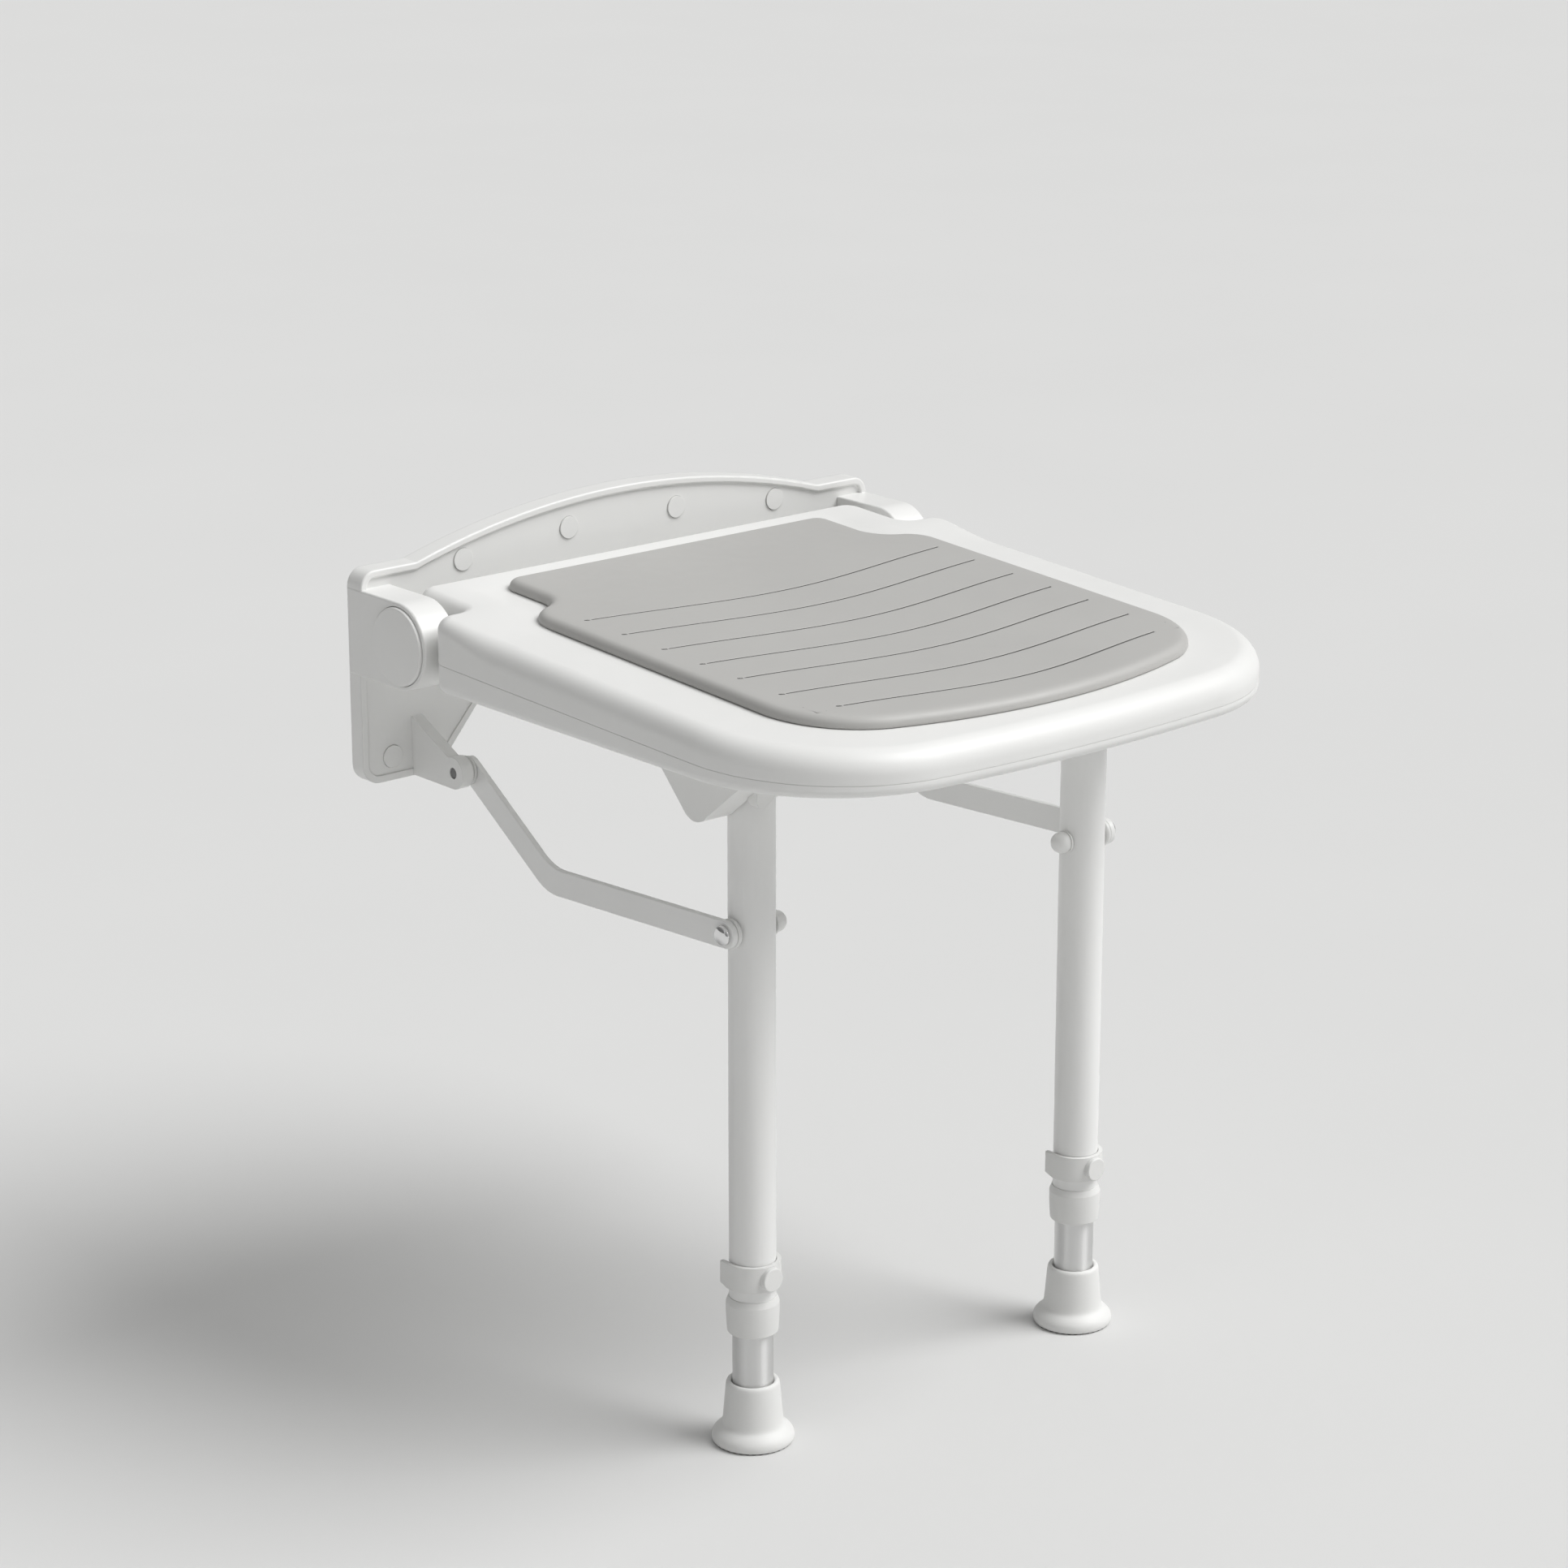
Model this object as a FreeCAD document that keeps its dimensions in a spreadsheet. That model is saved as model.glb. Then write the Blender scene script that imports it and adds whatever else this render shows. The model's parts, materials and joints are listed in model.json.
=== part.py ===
import FreeCAD, Part
import Sketcher
import math
import os

V = FreeCAD.Vector
doc = FreeCAD.newDocument("fold_down_wall_seat")
dims = doc.addObject("Spreadsheet::Sheet", "dims")

# ---------------------------------------------------------------------------
# Driving dimensions, millimetres. X runs along the wall, +Y into the wall,
# +Z up. The origin is on the wall plane, on the centre line, level with the
# hinge axis. Depths in front of the wall are given as positive numbers.
# ---------------------------------------------------------------------------
TABLE = [
    ("floor_drop", 518.0), ("hinge_depth", 60.0), ("hinge_rad", 31.0),
    ("leg_x", 152.0), ("leg_depth", 338.0), ("pivot_drop", 50.0), ("link_gap", 99.0),
    ("plate_thick", 12.0), ("plate_half", 233.0), ("plate_low", 111.0), ("plate_mid_low", 46.0),
    ("shoulder_up", 43.5), ("arch_up", 71.0), ("arch_half", 185.0), ("rim_depth", 16.6), ("rim_wide", 5.4), ("upper_thick", 14.0),
    ("horn_in", 206.0), ("horn_out", 233.5), ("cap_rad", 27.6), ("cap_thick", 3.0),
    ("axle_rad", 8.0), ("axle_run", 0.05), ("bush_rad", 11.0), ("bush_end", 223.0), ("axle_in", 152.0),
    ("seat_half", 233.0), ("seat_neck", 202.0), ("seat_rear", 33.0), ("seat_step", 95.0),
    ("seat_round", 118.0), ("seat_bow", 1325.0), ("seat_front", 498.5),
    ("seat_floor", 24.0), ("rim_z", 21.3), ("rim_y", 177.0), ("rim_slope", 0.052),
    ("top_round", 15.0), ("low_round", 6.0), ("part_z", 3.3), ("part_slope", 0.0322), ("part_rear", 11.0),
    ("core_inset", 8.0), ("core_top", 5.0), ("core_floor", 4.0),
    ("pad_half", 179.0), ("pad_neck", 146.0), ("pad_rear", 63.0), ("pad_front", 468.0), ("pad_thick", 8.3), ("pad_round", 3.6),
    ("ear_in", 168.8), ("ear_out", 193.0), ("ear_tip", 15.0), ("lug_in", 123.0), ("lug_out", 134.8), ("lug_tip", 12.0),
    ("tube_rad", 16.0), ("tube_bore", 14.4), ("tube_low", 92.0), ("tube_top", 471.0),
    ("pin_rad", 5.0), ("pin_run", 0.06),
    ("inner_rad", 14.0), ("inner_bore", 12.4), ("inner_low", 6.0), ("inner_top", 250.0),
    ("hole_pitch", 20.0), ("clip_z", 124.5), ("clip_high", 18.0), ("clip_half", 19.4), ("clip_gap", 16.4), ("clip_back", 11.0),
    ("stud_rad", 3.9), ("knob_rad", 8.4), ("stud_hole", 4.2),
    ("arm_in", 171.5), ("arm_thick", 4.5), ("arm_half", 9.5), ("knee_depth", 149.5), ("knee_z", 158.5),
    ("bolt_rad", 4.0), ("bolt_run", 0.08), ("wall_ear_in", 181.0), ("wall_ear_out", 190.0), ("wall_ear_tip", 11.5),
    ("screw_hole", 3.25), ("cap_seat", 8.25), ("cap_disc", 8.1), ("hole_x_a", 143.7), ("hole_z_a", 38.6),
    ("hole_x_b", 49.5), ("hole_z_b", 47.0), ("hole_x_c", 207.0), ("hole_z_c", 94.0),
]


class Q:
    """A size that knows its value and its sheet expression."""

    def __init__(self, v, t):
        self.v = float(v)
        self.t = t

    def __add__(self, o):
        o = q(o)
        return Q(self.v + o.v, "(%s + %s)" % (self.t, o.t))

    def __radd__(self, o):
        return q(o) + self

    def __sub__(self, o):
        o = q(o)
        return Q(self.v - o.v, "(%s - %s)" % (self.t, o.t))

    def __rsub__(self, o):
        return q(o) - self

    def __mul__(self, o):
        o = q(o)
        return Q(self.v * o.v, "(%s * %s)" % (self.t, o.t))

    def __rmul__(self, o):
        return q(o) * self

    def __truediv__(self, o):
        o = q(o)
        return Q(self.v / o.v, "(%s / %s)" % (self.t, o.t))

    def __neg__(self):
        return Q(-self.v, "(0 - %s)" % self.t)


def q(x):
    return x if isinstance(x, Q) else Q(x, "(%r)" % float(x) if x < 0 else "%r" % float(x))


D = {}
for i, (alias, value) in enumerate(TABLE):
    dims.set("A%d" % (i + 1), alias)
    dims.set("B%d" % (i + 1), repr(value))
    dims.setAlias("B%d" % (i + 1), alias)
doc.recompute()
for alias, value in TABLE:
    D[alias] = Q(dims.get(alias), "dims." + alias)


def bind(obj, prop, x):
    x = q(x)
    if "dims." in x.t:
        obj.setExpression(prop, x.t)
    else:
        if prop.startswith("Placement.Base."):
            p = obj.Placement
            b = p.Base
            setattr(b, prop[-1], x.v)
            obj.Placement = FreeCAD.Placement(b, p.Rotation)
        else:
            setattr(obj, prop, x.v)


def place(obj, x=0, y=0, z=0, rot=None):
    obj.Placement = FreeCAD.Placement(V(q(x).v, q(y).v, q(z).v), rot or FreeCAD.Rotation())
    for c, e in zip("xyz", (x, y, z)):
        if "dims." in q(e).t:
            bind(obj, "Placement.Base." + c, e)
    return obj


ALONG_X = FreeCAD.Rotation(V(0, 1, 0), 90)      # local +Z turned to +X
ALONG_MX = FreeCAD.Rotation(V(0, 1, 0), -90)    # local +Z turned to -X
ALONG_MY = FreeCAD.Rotation(V(1, 0, 0), 90)     # local +Z turned to -Y
ROT = {"x": ALONG_X, "-x": ALONG_MX, "-y": ALONG_MY, "z": FreeCAD.Rotation()}


def cyl(name, r, h, x=0, y=0, z=0, along="z"):
    o = doc.addObject("Part::Cylinder", name)
    bind(o, "Radius", r)
    bind(o, "Height", h)
    return place(o, x, y, z, ROT[along])


def box(name, lx, ly, lz, x=0, y=0, z=0):
    o = doc.addObject("Part::Box", name)
    bind(o, "Length", lx)
    bind(o, "Width", ly)
    bind(o, "Height", lz)
    return place(o, x, y, z)


def cut(name, a, b):
    o = doc.addObject("Part::Cut", name)
    o.Base = a
    o.Tool = b
    return o


def common(name, a, b):
    o = doc.addObject("Part::Common", name)
    o.Base = a
    o.Tool = b
    return o


def fuse(name, parts):
    o = doc.addObject("Part::MultiFuse", name)
    o.Shapes = parts
    return o


def origin_plane(body, role):
    for f in body.Origin.OriginFeatures:
        if f.Role == role:
            return f


def sketch(body, name, role, pts, arcs=None, offset=None, circles=None):
    """Closed outline through pts (x, y); arcs maps an edge number to a point on it."""
    arcs = arcs or {}
    sk = body.newObject("Sketcher::SketchObject", name)
    sk.AttachmentSupport = [(origin_plane(body, role), "")]
    sk.MapMode = "FlatFace"
    if offset is not None:
        sk.AttachmentOffset = FreeCAD.Placement(V(0, 0, q(offset).v), FreeCAD.Rotation())
        if "dims." in q(offset).t:
            sk.setExpression("AttachmentOffset.Base.z", q(offset).t)
    P = [(q(a), q(b)) for a, b in pts]
    n = len(P)
    first = []
    for i in range(n):
        a = V(P[i][0].v, P[i][1].v, 0)
        b = V(P[(i + 1) % n][0].v, P[(i + 1) % n][1].v, 0)
        if i in arcs:
            c = V(q(arcs[i][0]).v, q(arcs[i][1]).v, 0)
            g = sk.addGeometry(Part.Arc(a, c, b), False)
        else:
            g = sk.addGeometry(Part.LineSegment(a, b), False)
        first.append(1 if (sk.getPoint(g, 1) - a).Length < 1e-6 else 2)
    for i in range(n):
        j = (i + 1) % n
        sk.addConstraint(Sketcher.Constraint("Coincident", i, 3 - first[i], j, first[j]))
    for i in range(n):
        for kind, val, axis in (("DistanceX", P[i][0], -2), ("DistanceY", P[i][1], -1)):
            if abs(val.v) < 1e-9:
                sk.addConstraint(Sketcher.Constraint("PointOnObject", i, first[i], axis))
            else:
                k = sk.addConstraint(Sketcher.Constraint(kind, -1, 1, i, first[i], val.v))
                if "dims." in val.t:
                    sk.setExpression("Constraints[%d]" % k, val.t)
    for i in arcs:
        j = (i + 1) % n
        g = sk.Geometry[i]
        dx, dy = P[j][0].v - P[i][0].v, P[j][1].v - P[i][1].v
        if math.hypot(dx, dy) < 1.7 * g.Radius:
            sk.addConstraint(Sketcher.Constraint("Radius", i, g.Radius))
            continue
        # a half circle is held by its centre instead
        k = 0 if abs(dy) > abs(dx) else 1
        c = g.Center[k]
        if abs(c) < 1e-9:
            sk.addConstraint(Sketcher.Constraint("PointOnObject", i, 3, (-2, -1)[k]))
            continue
        m = sk.addConstraint(Sketcher.Constraint(("DistanceX", "DistanceY")[k], -1, 1, i, 3, c))
        half = (P[i][k] + P[j][k]) / 2
        if abs(half.v - c) < 1e-6 and "dims." in half.t:
            sk.setExpression("Constraints[%d]" % m, half.t)
    for (cx, cy, r) in circles or []:
        add_circle(sk, cx, cy, r)
    return sk


def add_circle(sk, cx, cy, r):
    cx, cy, r = q(cx), q(cy), q(r)
    g = sk.addGeometry(Part.Circle(V(cx.v, cy.v, 0), V(0, 0, 1), r.v), False)
    for kind, val, axis in (("DistanceX", cx, -2), ("DistanceY", cy, -1)):
        if abs(val.v) < 1e-9:
            sk.addConstraint(Sketcher.Constraint("PointOnObject", g, 3, axis))
        else:
            k = sk.addConstraint(Sketcher.Constraint(kind, -1, 1, g, 3, val.v))
            if "dims." in val.t:
                sk.setExpression("Constraints[%d]" % k, val.t)
    k = sk.addConstraint(Sketcher.Constraint("Radius", g, r.v))
    if "dims." in r.t:
        sk.setExpression("Constraints[%d]" % k, r.t)


def circle_sketch(body, name, role, rows, offset=None):
    sk = body.newObject("Sketcher::SketchObject", name)
    sk.AttachmentSupport = [(origin_plane(body, role), "")]
    sk.MapMode = "FlatFace"
    if offset is not None:
        sk.AttachmentOffset = FreeCAD.Placement(V(0, 0, q(offset).v), FreeCAD.Rotation())
        if "dims." in q(offset).t:
            sk.setExpression("AttachmentOffset.Base.z", q(offset).t)
    for cx, cy, r in rows:
        add_circle(sk, cx, cy, r)
    return sk


def pad(body, name, sk, length, back=False, middle=False):
    o = body.newObject("PartDesign::Pad", name)
    o.Profile = sk
    bind(o, "Length", length)
    o.Reversed = back
    o.Midplane = middle
    sk.Visibility = False
    return o


def pocket(body, name, sk, length=None, back=False, middle=False):
    o = body.newObject("PartDesign::Pocket", name)
    o.Profile = sk
    if length is None:
        o.Type = 1
    else:
        bind(o, "Length", length)
    o.Reversed = back
    o.Midplane = middle
    return o


def turned(label, pts, x=0, y=0, z=0, along="z", arcs=None):
    """A lathe-turned piece: half profile (radius, height) spun about its own axis."""
    b = doc.addObject("PartDesign::Body", label)
    sk = sketch(b, label + "_profile", "XZ_Plane", pts, arcs)
    r = b.newObject("PartDesign::Revolution", label + "_turn")
    r.Profile = sk
    r.ReferenceAxis = (sk, ["V_Axis"])
    r.Angle = 360
    b.Tip = r
    place(b, x, y, z, ROT[along])
    return b


NODES = {}


def node(obj, label):
    obj.Label = label
    NODES[label] = obj
    return obj


def round_edges(body, feature, name, radius, pick):
    """Rounds the edges of a feature that pick() accepts."""
    doc.recompute()
    names = ["Edge%d" % (i + 1) for i, e in enumerate(feature.Shape.Edges) if pick(e)]
    if not names:
        raise RuntimeError("no edges for " + name)
    f = body.newObject("PartDesign::Fillet", name)
    f.Base = (feature, names)
    bind(f, "Radius", radius)
    body.Tip = f
    doc.recompute()
    return f


def along(e, axis, tol=1e-3):
    """True for a straight edge parallel to the axis."""
    if e.Curve.TypeId != "Part::GeomLine":
        return False
    d = e.tangentAt(e.FirstParameter)
    return abs(abs(getattr(d, axis)) - 1) < tol


# ---------------------------------------------------------------------------
# Wall bracket: plate with arched flange, hinge horns, lower lobes, link ears
# ---------------------------------------------------------------------------
hy, hr = D["hinge_depth"], D["hinge_rad"]
ph, pl, pm = D["plate_half"], D["plate_low"], D["plate_mid_low"]
su, au, ah = D["shoulder_up"], D["arch_up"], D["arch_half"]

bracket = doc.addObject("PartDesign::Body", "bracket_body")
s2 = math.sqrt(0.5)


def bracket_outline(g, low):
    """Front outline inset by g; low adds to the inset of the bottom edges."""
    gl = g + low
    R = 12.0 - g * 0.9
    RL = 14.0 - gl * 0.9
    lx, lz = 168.0 - gl * 0.55, 0
    pts = [
        (-(ph - g), su - g - R), (-(ph - g) + R, su - g), (-ah, su - g),
        (ah, su - g), (ph - g - R, su - g), (ph - g, su - g - R),
        (ph - g, -(pl - gl) + RL), (ph - g - RL, -(pl - gl)),
        (178.0 + gl * 0.55, -(pl - gl)), (163.0 + gl * 0.6, -(pl - gl) + 7.0 - 0.1 * gl),
        (125.0 + gl * 0.85, -pm - 13.0 + gl * 0.2), (108.0 + gl * 0.6, -pm + gl),
        (-(108.0 + gl * 0.6), -pm + gl), (-(125.0 + gl * 0.85), -pm - 13.0 + gl * 0.2),
        (-(163.0 + gl * 0.6), -(pl - gl) + 7.0 - 0.1 * gl), (-(178.0 + gl * 0.55), -(pl - gl)),
        (-(ph - g) + RL, -(pl - gl)), (-(ph - g), -(pl - gl) + RL),
    ]
    k = 1 - s2

    def mid(p, c, rr):
        return (p, c)
    arcs = {
        0: ((-(ph - g)).v + R * k, (su - g).v - R * k),
        2: (0.0, (au - g).v),
        4: ((ph - g).v - R * k, (su - g).v - R * k),
        6: ((ph - g).v - RL * k, (-(pl - gl)).v + RL * k),
        8: (169.4 + gl * 0.6, (-(pl - gl)).v + 1.7),
        10: (118.3 + gl * 0.7, (-pm).v - 3.6 + gl * 0.7),
        12: (-(118.3 + gl * 0.7), (-pm).v - 3.6 + gl * 0.7),
        14: (-(169.4 + gl * 0.6), (-(pl - gl)).v + 1.7),
        16: ((-(ph - g)).v + RL * k, (-(pl - gl)).v + RL * k),
    }
    return pts, arcs


pts, arcs = bracket_outline(0.0, 0.0)
# the edges named in arcs 12 and 14 run right to left, so their numbers follow the point list
arcs = {0: arcs[0], 2: arcs[2], 4: arcs[4], 6: arcs[6], 8: arcs[8], 10: arcs[10], 12: arcs[12], 14: arcs[14], 16: arcs[16]}
sk = sketch(bracket, "plate_outline", "XZ_Plane", pts, arcs)
plate = pad(bracket, "plate", sk, D["plate_thick"] + 1.0)
# shallow panel inside a raised border
pts, arcs = bracket_outline(5.0, 0.0)
sk = sketch(bracket, "panel_outline", "XZ_Plane", pts, arcs, offset=D["plate_thick"])
panel = pocket(bracket, "panel", sk, 3.0, back=True)
# arched flange along the top and shoulders
rw = D["rim_wide"]
top = [
    (-ph, -hr), (-ph, su - 12.0), (-ph + 12.0, su), (-ah, su), (ah, su), (ph - 12.0, su), (ph, su - 12.0), (ph, -hr),
    (ph - rw, -hr), (ph - rw, su - 12.0), (ph - 12.0, su - rw), (ah, su - rw), (-ah, su - rw), (-ph + 12.0, su - rw),
    (-ph + rw, su - 12.0), (-ph + rw, -hr),
]
tarcs = {
    1: ((-ph).v + 12 * (1 - s2), su.v - 12 * (1 - s2)), 3: (0.0, au.v), 5: (ph.v - 12 * (1 - s2), su.v - 12 * (1 - s2)),
    9: ((ph - rw).v - (12.0 - rw.v) * (1 - s2), (su - rw).v - (12.0 - rw.v) * (1 - s2)), 11: (0.0, (au - rw).v),
    13: ((-ph + rw).v + (12.0 - rw.v) * (1 - s2), (su - rw).v - (12.0 - rw.v) * (1 - s2)),
}
sk = sketch(bracket, "flange_outline", "XZ_Plane", top, tarcs)
flange0 = pad(bracket, "flange", sk, D["rim_depth"])
# the plate is thicker between the horns and up to the arch
sk = sketch(bracket, "upper_outline", "XZ_Plane", top[:8], {k: tarcs[k] for k in (1, 3, 5)})
flange = pad(bracket, "upper_panel", sk, D["upper_thick"])


def flange_root(e):
    """Inner corner between the flange and the panel."""
    bb = e.BoundBox
    return bb.YLength < 0.01 and abs(bb.YMin + D["upper_thick"].v) < 0.02 and bb.ZMax > -30.0


root = round_edges(bracket, flange, "flange_root_round", 1.1, flange_root)
# hinge horns: block from the plate that ends in the barrel round the hinge axis
for side, off, nm in ((1, D["horn_in"], "right"), (-1, -D["horn_out"], "left")):
    sk = sketch(
        bracket, "horn_outline_" + nm, "YZ_Plane",
        [(-1.0, -hr), (-hy, -hr), (-hy, hr), (-1.0, hr)], {1: ((-(hy + hr)).v, 0.0)}, offset=off)
    pad(bracket, "horn_" + nm, sk, D["horn_out"] - D["horn_in"])
# link ears on the lower lobes
bz = -D["link_gap"]
et = D["wall_ear_tip"]
for side, off, nm in ((1, D["wall_ear_in"], "right"), (-1, -D["wall_ear_out"], "left")):
    ang = math.radians(64.0)
    tx, tz = -hy.v + et.v * math.cos(ang), bz.v + et.v * math.sin(ang)
    root_z = tz + (tx + 1.0) * -math.tan(math.radians(26.0)) * -1.0
    sk = sketch(
        bracket, "ear_outline_" + nm, "YZ_Plane",
        [(-1.0, bz - et), (-hy, bz - et), (tx, tz), (-1.0, tz + (-1.0 - tx) * math.tan(math.radians(26.0)))],
        {1: ((-(hy + et)).v + 0.0, bz.v + 0.0)}, offset=off)
    ear = pad(bracket, "link_ear_" + nm, sk, D["wall_ear_out"] - D["wall_ear_in"])
# bores for bushes, recesses for caps and retaining rings, pin bores
for off, back, r, ln, nm, cy, cz in (
        (D["horn_in"] - 1.0, True, D["bush_rad"], 40.0, "bush_bore_right", -hy, 0.0),
        (-D["horn_in"] + 1.0, False, D["bush_rad"], 40.0, "bush_bore_left", -hy, 0.0),
        (D["bush_end"], True, 14.0, 20.0, "ring_recess_right", -hy, 0.0),
        (-D["bush_end"], False, 14.0, 20.0, "ring_recess_left", -hy, 0.0),
        (D["horn_out"] - D["cap_thick"], True, D["cap_rad"] + 0.45, 10.0, "cap_recess_right", -hy, 0.0),
        (-D["horn_out"] + D["cap_thick"], False, D["cap_rad"] + 0.45, 10.0, "cap_recess_left", -hy, 0.0),
        (D["wall_ear_in"] - 3.0, True, D["bolt_rad"], 16.0, "link_pin_bore_right", -hy, bz),
        (-D["wall_ear_in"] + 3.0, False, D["bolt_rad"], 16.0, "link_pin_bore_left", -hy, bz)):
    sk = circle_sketch(bracket, nm + "_sketch", "YZ_Plane", [(cy, cz, r)], offset=off)
    pocket(bracket, nm, sk, ln, back=back)
# wall screw holes with cap seats
rows = []
for hx, hz in ((D["hole_x_a"], D["hole_z_a"]), (D["hole_x_b"], D["hole_z_b"]), (D["hole_x_c"], -D["hole_z_c"])):
    rows += [(hx, hz), (-hx, hz)]
sk = circle_sketch(bracket, "screw_holes_sketch", "XZ_Plane", [(a, b, D["screw_hole"]) for a, b in rows], offset=-5.0)
pocket(bracket, "screw_holes", sk, 30.0, back=True)
sk = circle_sketch(bracket, "cap_seats_sketch", "XZ_Plane", [(a, b, D["cap_seat"]) for a, b in rows], offset=4.0)
seats = pocket(bracket, "cap_seats", sk, 30.0, back=True)
bracket.Tip = seats
doc.recompute()


def front_rim(e):
    bb = e.BoundBox
    return bb.YLength < 0.01 and abs(bb.YMin + D["rim_depth"].v) < 0.01 and bb.ZMin > hr.v + 0.2


fl = round_edges(bracket, seats, "flange_round", 1.4, front_rim)


def horn_corner(e):
    bb = e.BoundBox
    side = abs(abs(bb.XMin) - D["horn_out"].v) < 0.05 or abs(abs(bb.XMin) - D["horn_in"].v) < 0.05
    return bb.XLength < 0.01 and side and e.Curve.TypeId == "Part::GeomCircle" and abs(e.Curve.Radius - hr.v) < 0.01


fl2 = round_edges(bracket, fl, "horn_round", 1.6, horn_corner)
node(bracket, "wall_bracket")

# round push-in caps over the six wall screws
caps = []
for i, (a, b) in enumerate(rows):
    face = D["upper_thick"] if b.v > 0 else D["plate_thick"]
    disc = cyl("cap_disc_%d" % i, D["cap_disc"], 1.5, a, -(face - 0.5), b, "-y")
    plug = cyl("cap_plug_%d" % i, 6.0, 4.0, a, -(face - 4.0), b, "-y")
    caps.append(fuse("screw_cap_%d" % i, [disc, plug]))
comp = doc.addObject("Part::Compound", "screw_caps_group")
comp.Links = caps
node(comp, "screw_caps")

# ---------------------------------------------------------------------------
# Hinge: stub axles in the seat, flanged bushes in the horns, rings and caps
# ---------------------------------------------------------------------------
ar = D["axle_rad"]
rings = []
for s, nm, al in ((1, "right", "x"), (-1, "left", "-x")):
    node(turned("hinge_axle_" + nm,
                [(0, 0), (ar, 0), (ar, 72.6), (ar - 1.0, 72.6), (ar - 1.0, 73.9), (ar, 73.9), (ar, 76.2), (ar - 1.0, 77.2), (0, 77.2)],
                s * D["axle_in"], -hy, 0, al), "hinge_axle_" + nm)
    node(turned("hinge_bush_" + nm,
                [(ar + D["axle_run"], 0), (17.0, 0), (17.0, 2.6), (D["bush_rad"], 2.6), (D["bush_rad"], 19.6), (ar + D["axle_run"], 19.6)],
                s * (D["horn_in"] - 2.6), -hy, 0, al), "hinge_bush_" + nm)
    rings.append(turned("axle_ring_" + nm, [(ar - 0.9, 0), (12.0, 0), (12.0, 1.2), (ar - 0.9, 1.2)],
                        s * (D["axle_in"] + 72.65), -hy, 0, al))
    cr = D["cap_rad"]
    node(turned("hinge_cap_" + nm,
                [(0, 0.2), (cr, 0.2), (cr, 4.1), (cr - 1.3, 5.4), (1.5, 6.2), (0, 6.2)],
                s * (D["horn_out"] - D["cap_thick"]), -hy, 0, al, arcs={2: (cr.v - 0.38, 5.02), 3: (14.0, 6.0)}), "hinge_cap_" + nm)
comp = doc.addObject("Part::Compound", "axle_clips_group")
comp.Links = rings
node(comp, "axle_clips")

# ---------------------------------------------------------------------------
# Seat: one blank, split at the parting plane into top and bottom shells
# ---------------------------------------------------------------------------
sh, sn = D["seat_half"], D["seat_neck"]
sr, ss = D["seat_rear"], D["seat_step"]
sf = D["seat_front"]


def front_points(g):
    """Tangent points and mid points of the front corner at inset g: side, mid, front."""
    r, big = D["seat_round"].v - g, D["seat_bow"].v - g
    edge = sh.v - g
    fa = math.asin((edge - r) / (big - r))
    fx, fy = big * math.sin(fa), -(sf.v - g) + big * (1 - math.cos(fa))
    cy = fy + r * math.cos(fa)
    mid = -(math.pi / 2 - fa) / 2
    return cy, (edge - r + r * math.cos(mid), cy + r * math.sin(mid)), (fx, fy)


def seat_outline(g):
    c = 15.6
    cy, (px, py), (fx, fy) = front_points(g)
    pts = [
        (sn - g - c, -sr - g), (sn - g, -sr - g - c), (sn - g, -ss - g + 9.0), (sn - g + 9.0, -ss - g),
        (sh - g - c, -ss - g), (sh - g, -ss - g - c), (sh - g, cy), (fx, fy),
        (-fx, fy), (-sh + g, cy), (-sh + g, -ss - g - c), (-sh + g + c, -ss - g),
        (-sn + g - 9.0, -ss - g), (-sn + g, -ss - g + 9.0), (-sn + g, -sr - g - c), (-sn + g + c, -sr - g),
    ]
    k = 1 - s2
    arcs = {
        0: ((sn - g).v - c * k, (-sr - g).v - c * k), 2: ((sn - g).v + 9 * k, (-ss - g).v + 9 * k),
        4: ((sh - g).v - c * k, (-ss - g).v - c * k), 6: (px, py), 7: (0.0, (-sf + g).v), 8: (-px, py),
        10: ((-sh + g).v + c * k, (-ss - g).v - c * k), 12: ((-sn + g).v - 9 * k, (-ss - g).v + 9 * k),
        14: ((-sn + g).v + c * k, (-sr - g).v - c * k),
    }
    return pts, arcs


def slope_z(y, lift=0.0):
    return D["rim_z"] + lift + D["rim_slope"] * (y + D["rim_y"])


blank = doc.addObject("PartDesign::Body", "seat_blank")
pts, arcs = seat_outline(0.0)
sk = sketch(blank, "seat_outline", "XY_Plane", pts, arcs, offset=-D["seat_floor"])
raw = pad(blank, "seat_pad_up", sk, 70.0)
sk = sketch(blank, "seat_top_slope", "YZ_Plane",
            [(-600.0, slope_z(-600.0)), (20.0, slope_z(20.0)), (20.0, 120.0), (-600.0, 120.0)])
sloped = pocket(blank, "seat_top_cut", sk, 600.0, middle=True)
doc.recompute()


def top_edges(e):
    return all(abs(v.Z - slope_z(v.Y).v) < 0.01 for v in e.Vertexes) and all(
        abs(p.z - slope_z(p.y).v) < 0.05 for p in e.discretize(5))


def low_edges(e):
    return e.BoundBox.ZMax < -D["seat_floor"].v + 0.01


rt = round_edges(blank, sloped, "seat_top_round", D["top_round"], top_edges)
rb = round_edges(blank, rt, "seat_low_round", D["low_round"], low_edges)

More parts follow.
